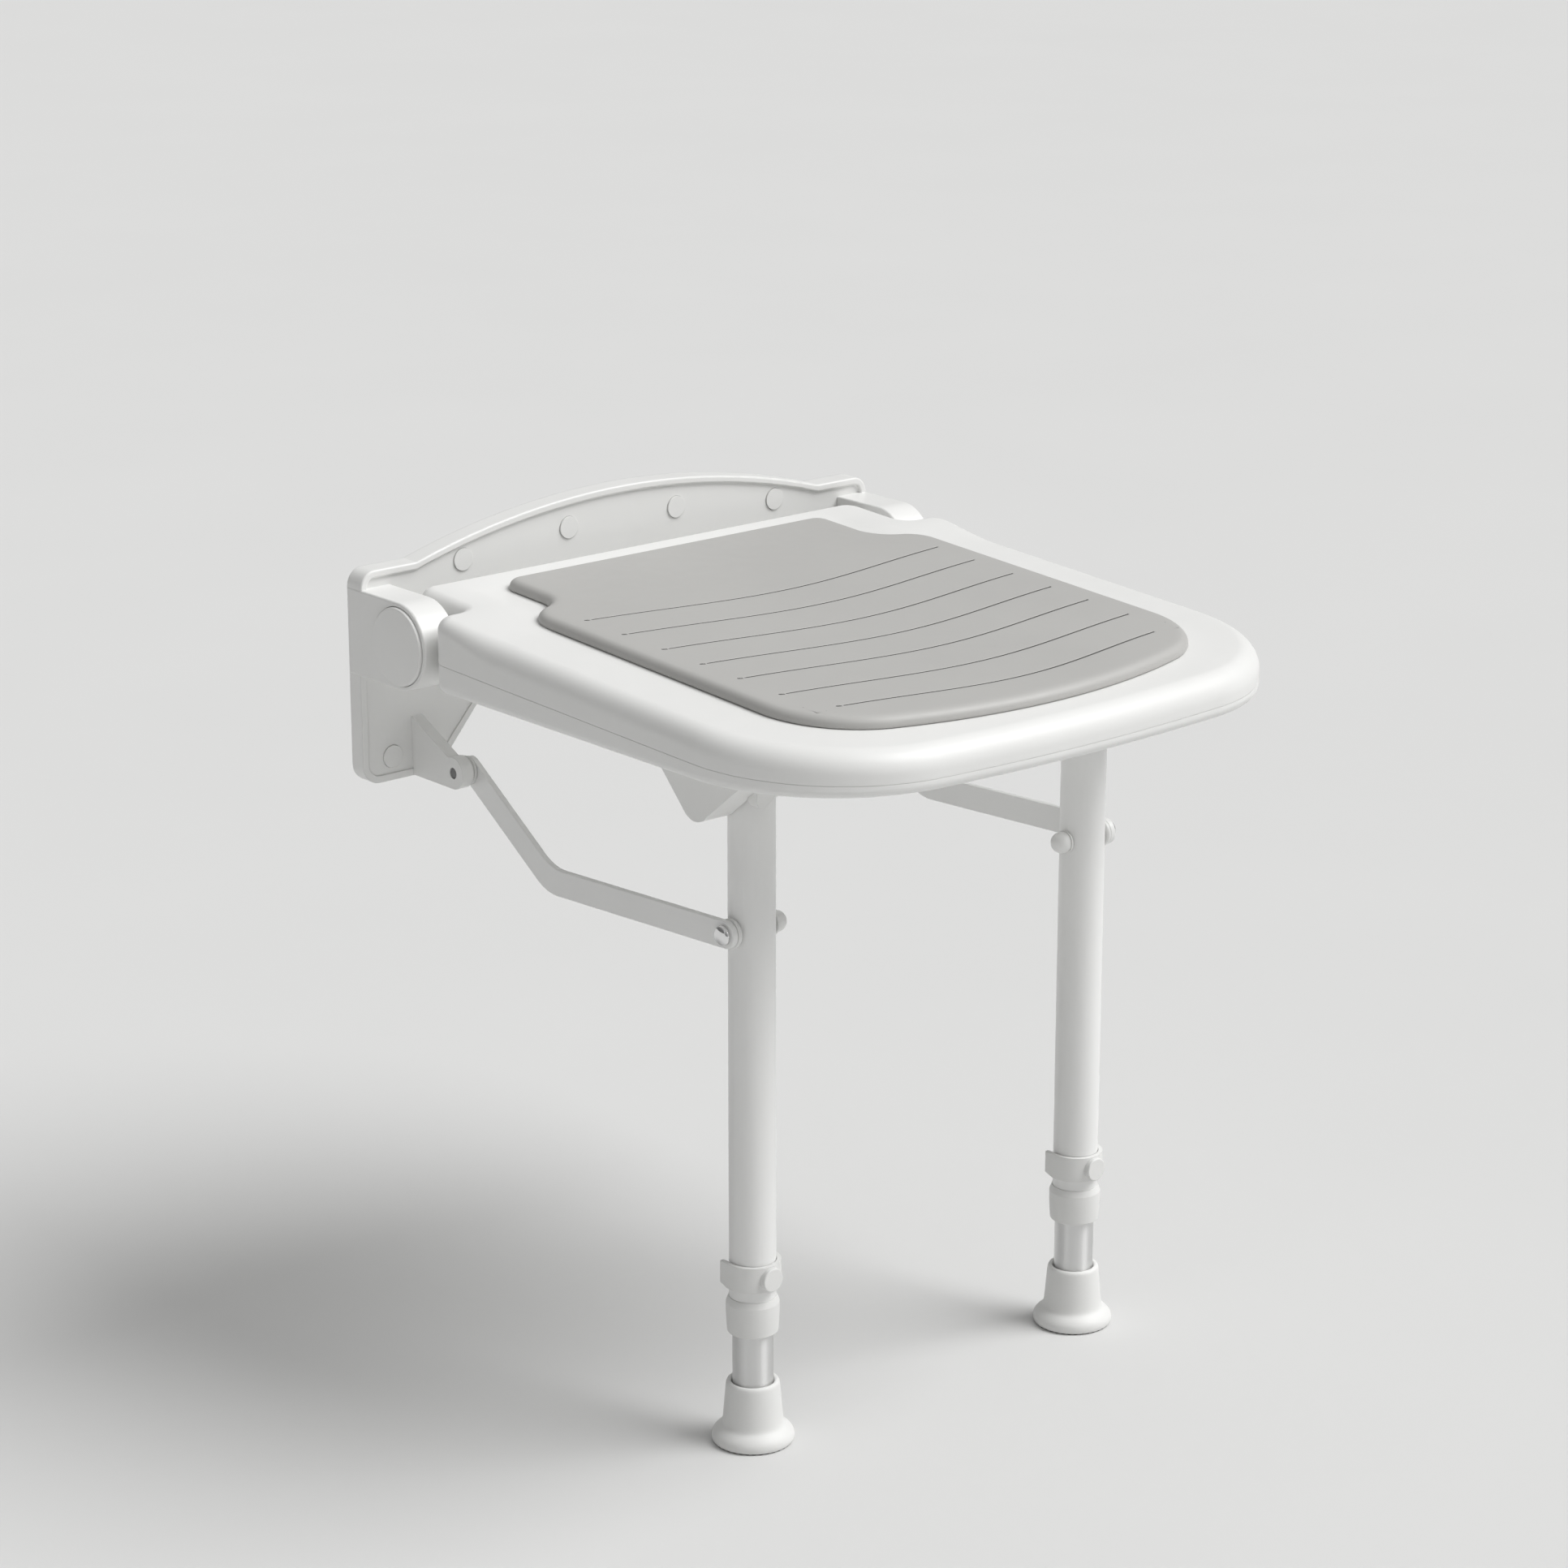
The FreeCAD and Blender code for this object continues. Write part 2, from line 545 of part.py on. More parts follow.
core = doc.addObject("PartDesign::Body", "seat_core")
ci = D["core_inset"]
cy, (px, py), (fx, fy) = front_points(ci.v)
sk = sketch(core, "core_outline", "XY_Plane",
            [(sh - ci, -ss - 12.0), (sh - ci, cy), (fx, fy), (-fx, fy), (-sh + ci, cy), (-sh + ci, -ss - 12.0)],
            {1: (px, py), 2: (0.0, (-sf + ci).v), 3: (-px, py)}, offset=-D["seat_floor"] + D["core_floor"])
pad(core, "core_up", sk, 70.0)
sk = sketch(core, "core_slope", "YZ_Plane",
            [(-600.0, slope_z(-600.0, -D["core_top"])), (20.0, slope_z(20.0, -D["core_top"])), (20.0, 120.0), (-600.0, 120.0)])
core.Tip = pocket(core, "core_cut", sk, 600.0, middle=True)

# everything under the parting surface, which steps down ahead of the hinge axle
under = doc.addObject("PartDesign::Body", "under_half")


def part_line(y):
    return -D["part_z"] + D["part_slope"] * (y + 100.0)


sk = sketch(under, "under_outline", "YZ_Plane",
            [(-600.0, part_line(-600.0)), (-99.0, part_line(-99.0)), (-86.0, -D["part_rear"]), (20.0, -D["part_rear"]),
             (20.0, -200.0), (-600.0, -200.0)])
under.Tip = pad(under, "under_block", sk, 600.0, middle=True)

top_solid = cut("top_solid", blank, under)
top_hollow = cut("top_hollow", top_solid, core)
low_solid = common("low_solid", blank, under)
low_hollow = cut("low_hollow", low_solid, core)

# screw bosses hang from the top shell and stand on the floor of the bottom shell
SCREWS = [(205.0, -150.0), (205.0, -300.0), (166.0, -440.0), (62.0, -472.0), (80.0, -124.0)]
SCREWS = SCREWS + [(-a, b) for a, b in SCREWS]
floor_z = -D["seat_floor"] + D["core_floor"]
bosses, boss_holes, floor_holes, heads = [], [], [], []
for i, (a, b) in enumerate(SCREWS):
    length = slope_z(b).v - D["core_top"].v + 2.5 - floor_z.v
    bosses.append(cyl("boss_%d" % i, 5.5, length, a, b, floor_z))
    boss_holes.append(cyl("boss_hole_%d" % i, 2.0, 14.0, a, b, floor_z - 1.0))
    floor_holes.append(cyl("floor_hole_%d" % i, 2.2, 12.0, a, b, floor_z - 6.0))
    floor_holes.append(cyl("floor_sink_%d" % i, 5.0, 5.0, a, b, floor_z - 7.2))
    hd = cyl("shell_screw_head_%d" % i, 4.3, 2.4, a, b, floor_z - 4.6)
    sd = cyl("shell_screw_shank_%d" % i, 1.97, 14.6, a, b, floor_z - 2.6)
    heads.append(fuse("shell_screw_%d" % i, [hd, sd]))
comp = doc.addObject("Part::Compound", "shell_screws_group")
comp.Links = heads
node(comp, "shell_screws")

top_bossed = fuse("top_bossed", [top_hollow] + bosses)
axle_bores = [cyl("axle_bore_%s" % n, D["axle_rad"], sn - D["axle_in"] + 10.0, s * D["axle_in"], -hy, 0, al)
              for s, n, al in ((1, "right", "x"), (-1, "left", "-x"))]
bush_reliefs = [cyl("bush_relief_%s" % n, 18.0, 10.0, s * (sn + 1.2), -hy, 0, al)
                for s, n, al in ((1, "right", "x"), (-1, "left", "-x"))]
top_tools = fuse("top_tools", boss_holes + axle_bores)
node(cut("seat_top_shell", top_bossed, top_tools), "seat_top_shell")

# leg ears, inner lugs and front stops under the bottom shell
ly, cz = D["leg_depth"], -D["pivot_drop"]
fz = -D["seat_floor"]
ears, ear_tools = [], []
for s, nm in ((1, "right"), (-1, "left")):
    b = doc.addObject("PartDesign::Body", "leg_ear_" + nm)
    tip = D["ear_tip"].v
    cy0, cz0 = -329.5, -54.6
    a1, a2 = math.radians(-44.0), math.radians(-141.0)
    p1 = (cy0 + tip * math.cos(a1), cz0 + tip * math.sin(a1))
    p2 = (cy0 + tip * math.cos(a2), cz0 + tip * math.sin(a2))
    off = D["ear_in"] if s > 0 else -D["ear_out"]
    # rear edge leans 46 degrees, front edge 39 degrees
    rear_top = (p1[0] + (fz.v + 3.0 - p1[1]) / math.tan(math.radians(46.0)), fz + 3.0)
    front_top = (p2[0] - (fz.v + 3.0 - p2[1]) / math.tan(math.radians(39.0)), fz + 3.0)
    sk = sketch(b, "leg_ear_outline_" + nm, "YZ_Plane", [rear_top, p1, p2, front_top],
                {1: (cy0 + tip * math.cos((a1 + a2) / 2), cz0 + tip * math.sin((a1 + a2) / 2))}, offset=off)
    e1 = pad(b, "leg_ear_pad_" + nm, sk, D["ear_out"] - D["ear_in"])
    b.Tip = e1
    ears.append(b)
    b2 = doc.addObject("PartDesign::Body", "leg_lug_" + nm)
    lt = D["lug_tip"].v
    a1, a2 = math.radians(-40.0), math.radians(-140.0)
    p1 = (-ly.v + lt * math.cos(a1), cz.v + lt * math.sin(a1))
    p2 = (-ly.v + lt * math.cos(a2), cz.v + lt * math.sin(a2))
    off = D["lug_in"] if s > 0 else -D["lug_out"]
    sk = sketch(b2, "leg_lug_outline_" + nm, "YZ_Plane",
                [(p1[0] + 26.0, fz + 3.0), p1, p2, (p2[0] - 14.0, fz + 3.0)],
                {1: (-ly.v, cz.v - lt)}, offset=off)
    e2 = pad(b2, "leg_lug_pad_" + nm, sk, D["lug_out"] - D["lug_in"])
    b2.Tip = e2
    ears.append(b2)
    # rounded stop in front of the tube
    b3 = doc.addObject("PartDesign::Body", "leg_stop_" + nm)
    x0, x1 = (143.0, 171.0) if s > 0 else (-143.0, -171.0)
    sk = sketch(b3, "leg_stop_outline_" + nm, "XZ_Plane",
                [(x1, fz + 3.0), (x1, -52.0), (s * 165.0, -58.0), (x0, fz + 3.0)],
                {1: (s * 169.2, -56.2), 2: (s * 151.0, -46.0)}, offset=ly + 19.0)
    e3 = pad(b3, "leg_stop_pad_" + nm, sk, 9.0)
    b3.Tip = e3
    ears.append(b3)
    ear_tools.append(cyl("leg_pin_bore_" + nm, D["pin_rad"], D["ear_out"] - D["lug_in"] - 2.0, s * (D["lug_in"] - 1.0), -ly, cz, "x" if s > 0 else "-x"))
    ear_tools.append(cyl("leg_pin_sink_" + nm, 8.0, 4.5, s * (D["lug_in"] - 1.0), -ly, cz, "x" if s > 0 else "-x"))
low_full = fuse("low_full", [low_hollow] + ears)
low_tools = fuse("low_tools", floor_holes + ear_tools)
node(cut("seat_bottom_shell", low_full, low_tools), "seat_bottom_shell")

# soft pad, thickness measured square to the level
padb = doc.addObject("PartDesign::Body", "seat_pad_body")
pw, pn, pr, pf = D["pad_half"], D["pad_neck"], D["pad_rear"], D["pad_front"]
# notch: two equal tangent arcs turning 70 degrees; front: wide arc into 74 mm corners
t70 = math.radians(70.0)
nr = (pw.v - pn.v) / (2 * (1 - math.cos(t70)))
ny0 = -108.0
ny1 = ny0 - nr * math.sin(t70)
ny2 = ny0 - 2 * nr * math.sin(t70)
t35 = math.radians(35.0)
fr_big, fr_c = 434.0, 74.0
fa = math.asin((pw.v - fr_c) / (fr_big - fr_c))
fx0, fy0 = fr_big * math.sin(fa), -pf.v + fr_big * (1 - math.cos(fa))
fcx, fcy = pw.v - fr_c, fy0 + fr_c * math.cos(fa)
fm = -(math.pi / 2 - fa) / 2
half = [(pn - 12.0, -pr), (pn, -pr - 12.0), (pn, ny0), (pn + nr * (1 - math.cos(t70)), ny1), (pw, ny2), (pw, fcy), (fx0, fy0)]
pts = half + [(-a, b) for a, b in reversed(half)]
mids = {
    0: (pn.v - 12 * (1 - s2), -pr.v - 12 * (1 - s2)), 2: (pn.v + nr * (1 - math.cos(t35)), ny0 - nr * math.sin(t35)),
    3: (pw.v - nr * (1 - math.cos(t35)), ny2 + nr * math.sin(t35)), 5: (fcx + fr_c * math.cos(fm), fcy + fr_c * math.sin(fm)),
}
parcs = dict(mids)
parcs[6] = (0.0, -pf.v)
for k, c in mids.items():
    parcs[12 - k] = (-c[0], c[1])
sk = sketch(padb, "pad_outline", "XY_Plane", pts, parcs, offset=-20.0)
pad(padb, "pad_up", sk, 90.0)
pt = D["pad_thick"]
sk = sketch(padb, "pad_top_slope", "YZ_Plane",
            [(-600.0, slope_z(-600.0, pt)), (20.0, slope_z(20.0, pt)), (20.0, 140.0), (-600.0, 140.0)])
pocket(padb, "pad_top_cut", sk, 600.0, middle=True)
sk = sketch(padb, "pad_low_slope", "YZ_Plane",
            [(-600.0, slope_z(-600.0, 0.02)), (20.0, slope_z(20.0, 0.02)), (20.0, -140.0), (-600.0, -140.0)])
pc = pocket(padb, "pad_low_cut", sk, 600.0, middle=True)
doc.recompute()


def pad_top(e):
    return all(abs(p.z - slope_z(p.y, pt).v) < 0.05 for p in e.discretize(5))


round_edges(padb, pc, "pad_round", D["pad_round"], pad_top)
node(padb, "seat_pad")

# ---------------------------------------------------------------------------
# Legs, links and feet
# ---------------------------------------------------------------------------
fd = D["floor_drop"]
tr, tb = D["tube_rad"], D["tube_bore"]
dz = cz - D["link_gap"]
pin_r = D["pin_rad"] + D["pin_run"]
bolt_r = D["bolt_rad"] + D["bolt_run"]
HOLES = 7
for s, nm in ((1, "right"), (-1, "left")):
    out, inn = ("x", "-x") if s > 0 else ("-x", "x")
    lx = s * D["leg_x"]
    # outer tube, open below, with pivot, bolt and stud holes
    body = cyl("outer_tube_" + nm, tr, D["tube_top"] - D["tube_low"], lx, -ly, D["tube_low"] - fd)
    bore = cyl("outer_tube_bore_" + nm, tb, D["tube_top"] - D["tube_low"] + 20.0, lx, -ly, D["tube_low"] - fd - 10.0)
    holes = fuse("outer_tube_holes_" + nm, [
        bore,
        cyl("outer_pivot_hole_" + nm, pin_r, 40.0, s * (D["leg_x"] - 20.0), -ly, cz, out),
        cyl("outer_bolt_hole_" + nm, bolt_r, 40.0, s * (D["leg_x"] - 20.0), -ly, dz, out),
        cyl("outer_stud_hole_" + nm, D["stud_hole"], 20.0, lx, -ly, D["clip_z"] - fd, "-y")])
    node(cut("outer_leg_tube_" + nm, body, holes), "outer_leg_tube_" + nm)
    # top plug: spigot in the tube and a head rounded about the pivot
    head = common("plug_head_" + nm,
                  cyl("plug_round_" + nm, tr, 2 * tr, s * (D["leg_x"] - D["tube_rad"]), -ly, cz, out),
                  cyl("plug_trim_" + nm, tr, 13.5, lx, -ly, D["tube_top"] - fd))
    spig = cyl("plug_spigot_" + nm, tb, 28.0, lx, -ly, D["tube_top"] - fd - 28.0)
    plug = fuse("plug_solid_" + nm, [head, spig])
    node(cut("leg_top_plug_" + nm, plug, cyl("plug_pin_hole_" + nm, pin_r, 40.0, s * (D["leg_x"] - 20.0), -ly, cz, out)),
         "leg_top_plug_" + nm)
    # pivot pin: head against the inner lug, shank to the outer ear
    node(turned("leg_pivot_pin_" + nm,
                [(0, 0), (6.6, 0), (7.4, 0.8), (7.4, 3.0), (D["pin_rad"], 3.0), (D["pin_rad"], 65.0), (D["pin_rad"] - 1.0, 66.0), (0, 66.0)],
                s * (D["lug_in"] + 0.3), -ly, cz, out), "leg_pivot_pin_" + nm)
    # link arm: flat bar with a knee, rounded ends
    arm = doc.addObject("PartDesign::Body", "link_arm_" + nm)
    B = (-hy.v, bz.v)
    K = (-D["knee_depth"].v, -D["knee_z"].v)
    E = (-ly.v, dz.v)
    w = D["arm_half"].v

    def unit(p, r):
        L = math.hypot(r[0] - p[0], r[1] - p[1])
        return ((r[0] - p[0]) / L, (r[1] - p[1]) / L)
    u1, u2 = unit(B, K), unit(K, E)
    n1, n2 = (-u1[1], u1[0]), (-u2[1], u2[0])
    den = 1 + n1[0] * n2[0] + n1[1] * n2[1]
    m = ((n1[0] + n2[0]) / den, (n1[1] + n2[1]) / den)
    bend = 13.0

    def at(p, n, k):
        return (p[0] + n[0] * k, p[1] + n[1] * k)
    k1, k2 = at(K, m, w), at(K, m, -w)
    pts = [at(B, n1, w), at(k1, u1, -bend), at(k1, u2, bend), at(E, n2, w), at(E, n2, -w), at(k2, u2, bend), at(k2, u1, -bend), at(B, n1, -w)]

    def knee(kp):
        a = at(kp, u1, -bend)
        c = at(kp, u2, bend)
        return ((a[0] + c[0] + 2 * kp[0]) / 4.0, (a[1] + c[1] + 2 * kp[1]) / 4.0)
    arcs = {1: knee(k1), 3: at(E, u2, w), 5: knee(k2), 7: at(B, u1, -w)}
    off = D["arm_in"] if s > 0 else -(D["arm_in"] + D["arm_thick"])
    sk = sketch(arm, "link_outline_" + nm, "YZ_Plane", pts, arcs, offset=off)
    add_circle(sk, -hy, bz, D["bolt_rad"] + D["bolt_run"])
    add_circle(sk, -ly, dz, D["bolt_rad"] + D["bolt_run"])
    ap = pad(arm, "link_bar_" + nm, sk, D["arm_thick"])
    arm.Tip = ap

    def rim(e):
        bb = e.BoundBox
        return bb.XLength < 0.01 and (e.Curve.TypeId == "Part::GeomLine" or e.Curve.Radius > 5.0)
    round_edges(arm, ap, "link_edges_" + nm, 0.8, rim)
    node(arm, "link_arm_" + nm)
    # wall pivot: headed pin from the inner side through washers, link and ear
    node(turned("link_pivot_pin_" + nm,
                [(0, 0), (5.2, 0), (6.2, 1.0), (6.2, 3.0), (D["bolt_rad"], 3.0), (D["bolt_rad"], 20.5), (D["bolt_rad"] - 0.8, 21.2), (0, 21.2)],
                s * (D["arm_in"] - 3.2), -hy, bz, out), "link_pivot_pin_" + nm)
    ws = []
    for j, x0 in enumerate((D["arm_in"] + D["arm_thick"] + 0.15, D["arm_in"] + D["arm_thick"] + 2.65)):
        ws.append(turned("pivot_washer_%s_%d" % (nm, j),
                         [(D["bolt_rad"], 0), (9.4, 0), (10.3, 0.7), (10.3, 1.5), (9.4, 2.2), (D["bolt_rad"], 2.2)],
                         s * x0, -hy, bz, out))
    comp = doc.addObject("Part::Compound", "pivot_washers_" + nm)
    comp.Links = ws
    node(comp, "link_pivot_washers_" + nm)
    # link bolt: pan head outside the link, shank through link, washer and tube
    br = D["bolt_rad"]
    head = turned("link_bolt_blank_" + nm,
                  [(0, 0), (br, 0), (br, 48.2), (6.9, 48.2), (6.9, 49.6), (5.6, 51.6), (0.8, 52.6), (0, 52.6)],
                  s * (D["leg_x"] - 24.0), -ly, dz, out, arcs={4: (6.55, 50.8), 5: (2.9, 52.35)})
    cross = fuse("bolt_recess_" + nm, [
        place(box("recess_a_" + nm, 4.0, 6.4, 1.3), s * (D["leg_x"] + 26.2) - 2.0, -ly - 3.2, dz - 0.65),
        place(box("recess_b_" + nm, 4.0, 1.3, 6.4), s * (D["leg_x"] + 26.2) - 2.0, -ly - 0.65, dz - 3.2)])
    cross_near = common("bolt_recess_near_" + nm, cross,
                        cyl("recess_limit_" + nm, 4.2, 6.0, s * (D["leg_x"] + 26.2), -ly, dz, out))
    node(cut("link_bolt_" + nm, head, cross_near), "link_bolt_" + nm)
    wa = turned("link_washer_out_" + nm, [(br, 0), (9.4, 0), (10.0, 0.6), (10.0, 2.5), (9.4, 3.1), (br, 3.1)],
                s * (D["leg_x"] + D["tube_rad"] + 0.2), -ly, dz, out)
    wb = turned("link_washer_in_" + nm, [(br, 0), (7.8, 0), (8.2, 0.4), (8.2, 1.6), (br, 1.6)],
                s * (D["leg_x"] - D["tube_rad"] - 0.1), -ly, dz, inn)
    comp = doc.addObject("Part::Compound", "link_washers_group_" + nm)
    comp.Links = [wa, wb]
    node(comp, "link_washers_" + nm)
    node(turned("link_dome_nut_" + nm,
                [(br, 0), (7.4, 0), (7.4, 3.6), (0.8, 10.2), (0, 10.2), (0, 7.4), (br, 7.4)],
                s * (D["leg_x"] - D["tube_rad"] - 1.8), -ly, dz, inn, arcs={2: (5.26, 8.06)}), "link_dome_nut_" + nm)
    # plastic sleeve on the lower end of the outer tube, bore guides the inner tube
    ir = D["inner_rad"]
    node(turned("leg_end_sleeve_" + nm,
                [(ir + 0.06, 0), (16.4, 0), (17.5, 1.4), (17.9, 6.0), (18.3, 14.0), (18.3, 21.6), (17.7, 23.2), (16.5, 26.0),
                 (tr, 26.0), (tr, D["tube_low"] - 81.0), (ir + 0.06, D["tube_low"] - 81.0)],
                lx, -ly, 81.0 - fd, "z", arcs={1: (17.15, 0.35)}), "leg_end_sleeve_" + nm)
    # height clip: straight-sided U with knob and locking stud
    clip = doc.addObject("PartDesign::Body", "leg_clip_" + nm)
    gi, go, gb = D["clip_gap"], D["clip_half"], D["clip_back"]
    pts = [(go, 0.0), (go, gb), (gi, gb), (gi, 0.0), (-gi, 0.0), (-gi, gb), (-go, gb), (-go, 0.0)]
    sk = sketch(clip, "clip_outline_" + nm, "XY_Plane", pts, {3: (0.0, -gi.v), 7: (0.0, -go.v)}, offset=-D["clip_high"] / 2)
    cp = pad(clip, "clip_band_" + nm, sk, D["clip_high"])
    # lower rear corners of the arms are bevelled
    sk = sketch(clip, "clip_bevel_" + nm, "YZ_Plane", [(gb + 1.0, -9.5), (gb + 1.0, -6.6), (gb + 0.0, -6.6), (gb - 8.4, -9.5)])
    cb = pocket(clip, "clip_bevel_cut_" + nm, sk, 60.0, middle=True)
    sk = circle_sketch(clip, "clip_stud_sketch_" + nm, "XZ_Plane", [(0.0, -3.0, D["stud_rad"])], offset=11.2)
    st = pad(clip, "clip_stud_" + nm, sk, 7.0)
    sk = circle_sketch(clip, "clip_knob_sketch_" + nm, "XZ_Plane", [(0.0, -0.4, D["knob_rad"])], offset=16.6)
    kn = pad(clip, "clip_knob_" + nm, sk, 5.6)
    clip.Tip = kn

    def knob_rim(e):
        bb = e.BoundBox
        return abs(bb.YMin + 22.2) < 0.01 and abs(bb.YMax + 22.2) < 0.01
    round_edges(clip, kn, "clip_knob_round_" + nm, 1.0, knob_rim)
    place(clip, lx, -ly, D["clip_z"] - fd)
    node(clip, "leg_clip_" + nm)
    # telescoping inner tube with its row of stud holes
    hz0 = D["clip_z"] - 3.0
    solid = cyl("inner_tube_" + nm, ir, D["inner_top"] - D["inner_low"], lx, -ly, D["inner_low"] - fd)
    tools = [cyl("inner_tube_bore_" + nm, D["inner_bore"], 400.0, lx, -ly, -fd - 10.0)]
    for j in range(HOLES):
        tools.append(cyl("inner_hole_%s_%d" % (nm, j), D["stud_hole"], 20.0, lx, -ly, hz0 + (j - 1) * D["hole_pitch"] - fd, "-y"))
    node(cut("inner_leg_tube_" + nm, solid, fuse("inner_tube_tools_" + nm, tools)), "inner_leg_tube_" + nm)
    node(turned("inner_tube_guide_" + nm,
                [(9.0, 0), (D["inner_bore"], 0), (D["inner_bore"], 14.0), (D["tube_bore"] - 0.06, 14.0), (D["tube_bore"] - 0.06, 24.0),
                 (13.4, 25.0), (9.0, 25.0)],
                lx, -ly, D["inner_top"] - 14.0 - fd), "inner_tube_guide_" + nm)
    # flared foot
    node(turned("foot_ferrule_" + nm,
                [(0, 0), (26.8, 0), (28.4, 4.2), (25.6, 9.6), (21.3, 13.6), (20.6, 17.5), (18.5, 41.6), (16.2, 44.6), (ir, 44.2), (ir, D["inner_low"]), (0, D["inner_low"])],
                lx, -ly, -fd, "z", arcs={1: (28.05, 1.7), 2: (27.7, 7.2), 4: (20.75, 15.5), 6: (17.9, 43.9)}), "foot_ferrule_" + nm)

# the stud hole in the outer tube sits level with the stud
for nm in ("right", "left"):
    o = doc.getObject("outer_stud_hole_" + nm)
    bind(o, "Placement.Base.z", D["clip_z"] - 3.0 - fd)

doc.recompute()

bad = []
for o in doc.Objects:
    if "Invalid" in o.State or "Error" in o.State:
        bad.append(o.Name)
for label, o in NODES.items():
    sh_ = o.Shape
    if sh_.isNull() or not sh_.isValid() or sh_.Volume < 1.0:
        bad.append("shape of " + label)
if bad:
    raise RuntimeError("failed objects: " + ", ".join(bad))

os.makedirs("parts", exist_ok=True)
for label, o in sorted(NODES.items()):
    o.Shape.exportStep("parts/%s.step" % label)
    bb = o.Shape.BoundBox
    print("%-28s solids %2d  vol %10.1f  x %7.1f..%7.1f  y %7.1f..%7.1f  z %7.1f..%7.1f" % (
        label, len(o.Shape.Solids), o.Shape.Volume, bb.XMin, bb.XMax, bb.YMin, bb.YMax, bb.ZMin, bb.ZMax))
print("nodes:", len(NODES))
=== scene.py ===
import bpy
import bmesh
import json
import math
import random
from mathutils import Matrix, Vector
from mathutils.geometry import delaunay_2d_cdt


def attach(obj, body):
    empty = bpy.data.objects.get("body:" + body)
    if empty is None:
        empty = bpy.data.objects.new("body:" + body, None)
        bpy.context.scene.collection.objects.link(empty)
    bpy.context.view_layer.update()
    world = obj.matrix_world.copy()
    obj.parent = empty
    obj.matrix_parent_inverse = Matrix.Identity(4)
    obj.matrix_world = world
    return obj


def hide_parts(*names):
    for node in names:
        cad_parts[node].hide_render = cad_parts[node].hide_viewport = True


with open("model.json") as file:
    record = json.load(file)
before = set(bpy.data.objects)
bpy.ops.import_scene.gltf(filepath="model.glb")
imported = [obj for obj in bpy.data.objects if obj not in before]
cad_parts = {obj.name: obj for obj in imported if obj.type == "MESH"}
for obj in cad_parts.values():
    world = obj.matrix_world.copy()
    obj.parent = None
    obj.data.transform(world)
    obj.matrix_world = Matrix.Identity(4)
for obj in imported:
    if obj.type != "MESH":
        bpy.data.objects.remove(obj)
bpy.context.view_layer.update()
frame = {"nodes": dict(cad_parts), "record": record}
NODE = frame["nodes"]


random.seed(7)
MM = 0.001
scene = bpy.context.scene


# ---------------------------------------------------------------------------
# Materials: every finish is a small node network
# ---------------------------------------------------------------------------
def new_mat(name):
    m = bpy.data.materials.new(name)
    m.use_nodes = True
    nt = m.node_tree
    bsdf = nt.nodes["Principled BSDF"]
    return m, nt, bsdf


def noise(nt, scale, detail=4.0, rough=0.5, coord=None, stretch=None):
    tc = nt.nodes.new("ShaderNodeTexCoord")
    mp = nt.nodes.new("ShaderNodeMapping")
    nt.links.new(tc.outputs["Object"], mp.inputs["Vector"])
    if stretch:
        mp.inputs["Scale"].default_value = stretch
    n = nt.nodes.new("ShaderNodeTexNoise")
    n.inputs["Scale"].default_value = scale
    n.inputs["Detail"].default_value = detail
    n.inputs["Roughness"].default_value = rough
    nt.links.new(mp.outputs["Vector"], n.inputs["Vector"])
    return n.outputs["Fac"]


def remap(nt, sock, a, b, lo, hi):
    r = nt.nodes.new("ShaderNodeMapRange")
    r.inputs["From Min"].default_value = a
    r.inputs["From Max"].default_value = b
    r.inputs["To Min"].default_value = lo
    r.inputs["To Max"].default_value = hi
    nt.links.new(sock, r.inputs["Value"])
    return r.outputs["Result"]


def mix_col(nt, fac, a, b):
    m = nt.nodes.new("ShaderNodeMix")
    m.data_type = "RGBA"
    nt.links.new(fac, m.inputs["Factor"])
    for key, v in (("A", a), ("B", b)):
        i = [s for s in m.inputs if s.name == key and s.type == "RGBA"][0]
        if hasattr(v, "links"):
            nt.links.new(v, i)
        else:
            i.default_value = (*v, 1.0)
    return [s for s in m.outputs if s.type == "RGBA"][0]


def bump(nt, bsdf, sock, strength, dist):
    b = nt.nodes.new("ShaderNodeBump")
    b.inputs["Strength"].default_value = strength
    b.inputs["Distance"].default_value = dist
    nt.links.new(sock, b.inputs["Height"])
    prev = bsdf.inputs["Normal"].links
    if prev:
        nt.links.new(prev[0].from_socket, b.inputs["Normal"])
    nt.links.new(b.outputs["Normal"], bsdf.inputs["Normal"])


def round_normals(nt, bsdf, radius):
    """Softens sharp edges in shading by a small real radius."""
    n = nt.nodes.new("ShaderNodeBevel")
    n.samples = 6
    n.inputs["Radius"].default_value = radius
    nt.links.new(n.outputs["Normal"], bsdf.inputs["Normal"])


def plastic(name, base, tint, rough, grain=900.0, grain_h=0.00002, spread=0.05, soft_edge=0.0, ior=1.46):
    m, nt, s = new_mat(name)
    if soft_edge > 0:
        round_normals(nt, s, soft_edge)
    big = noise(nt, 9.0, 3.0)
    mid = noise(nt, 70.0, 5.0, 0.6)
    fine = noise(nt, grain, 2.0, 0.5)
    col = mix_col(nt, remap(nt, big, 0.35, 0.65, 0.0, 1.0), base, tint)
    nt.links.new(col, s.inputs["Base Color"])
    nt.links.new(remap(nt, mid, 0.3, 0.7, rough - spread, rough + spread), s.inputs["Roughness"])
    bump(nt, s, fine, 0.35, grain_h)
    s.inputs["IOR"].default_value = ior
    return m


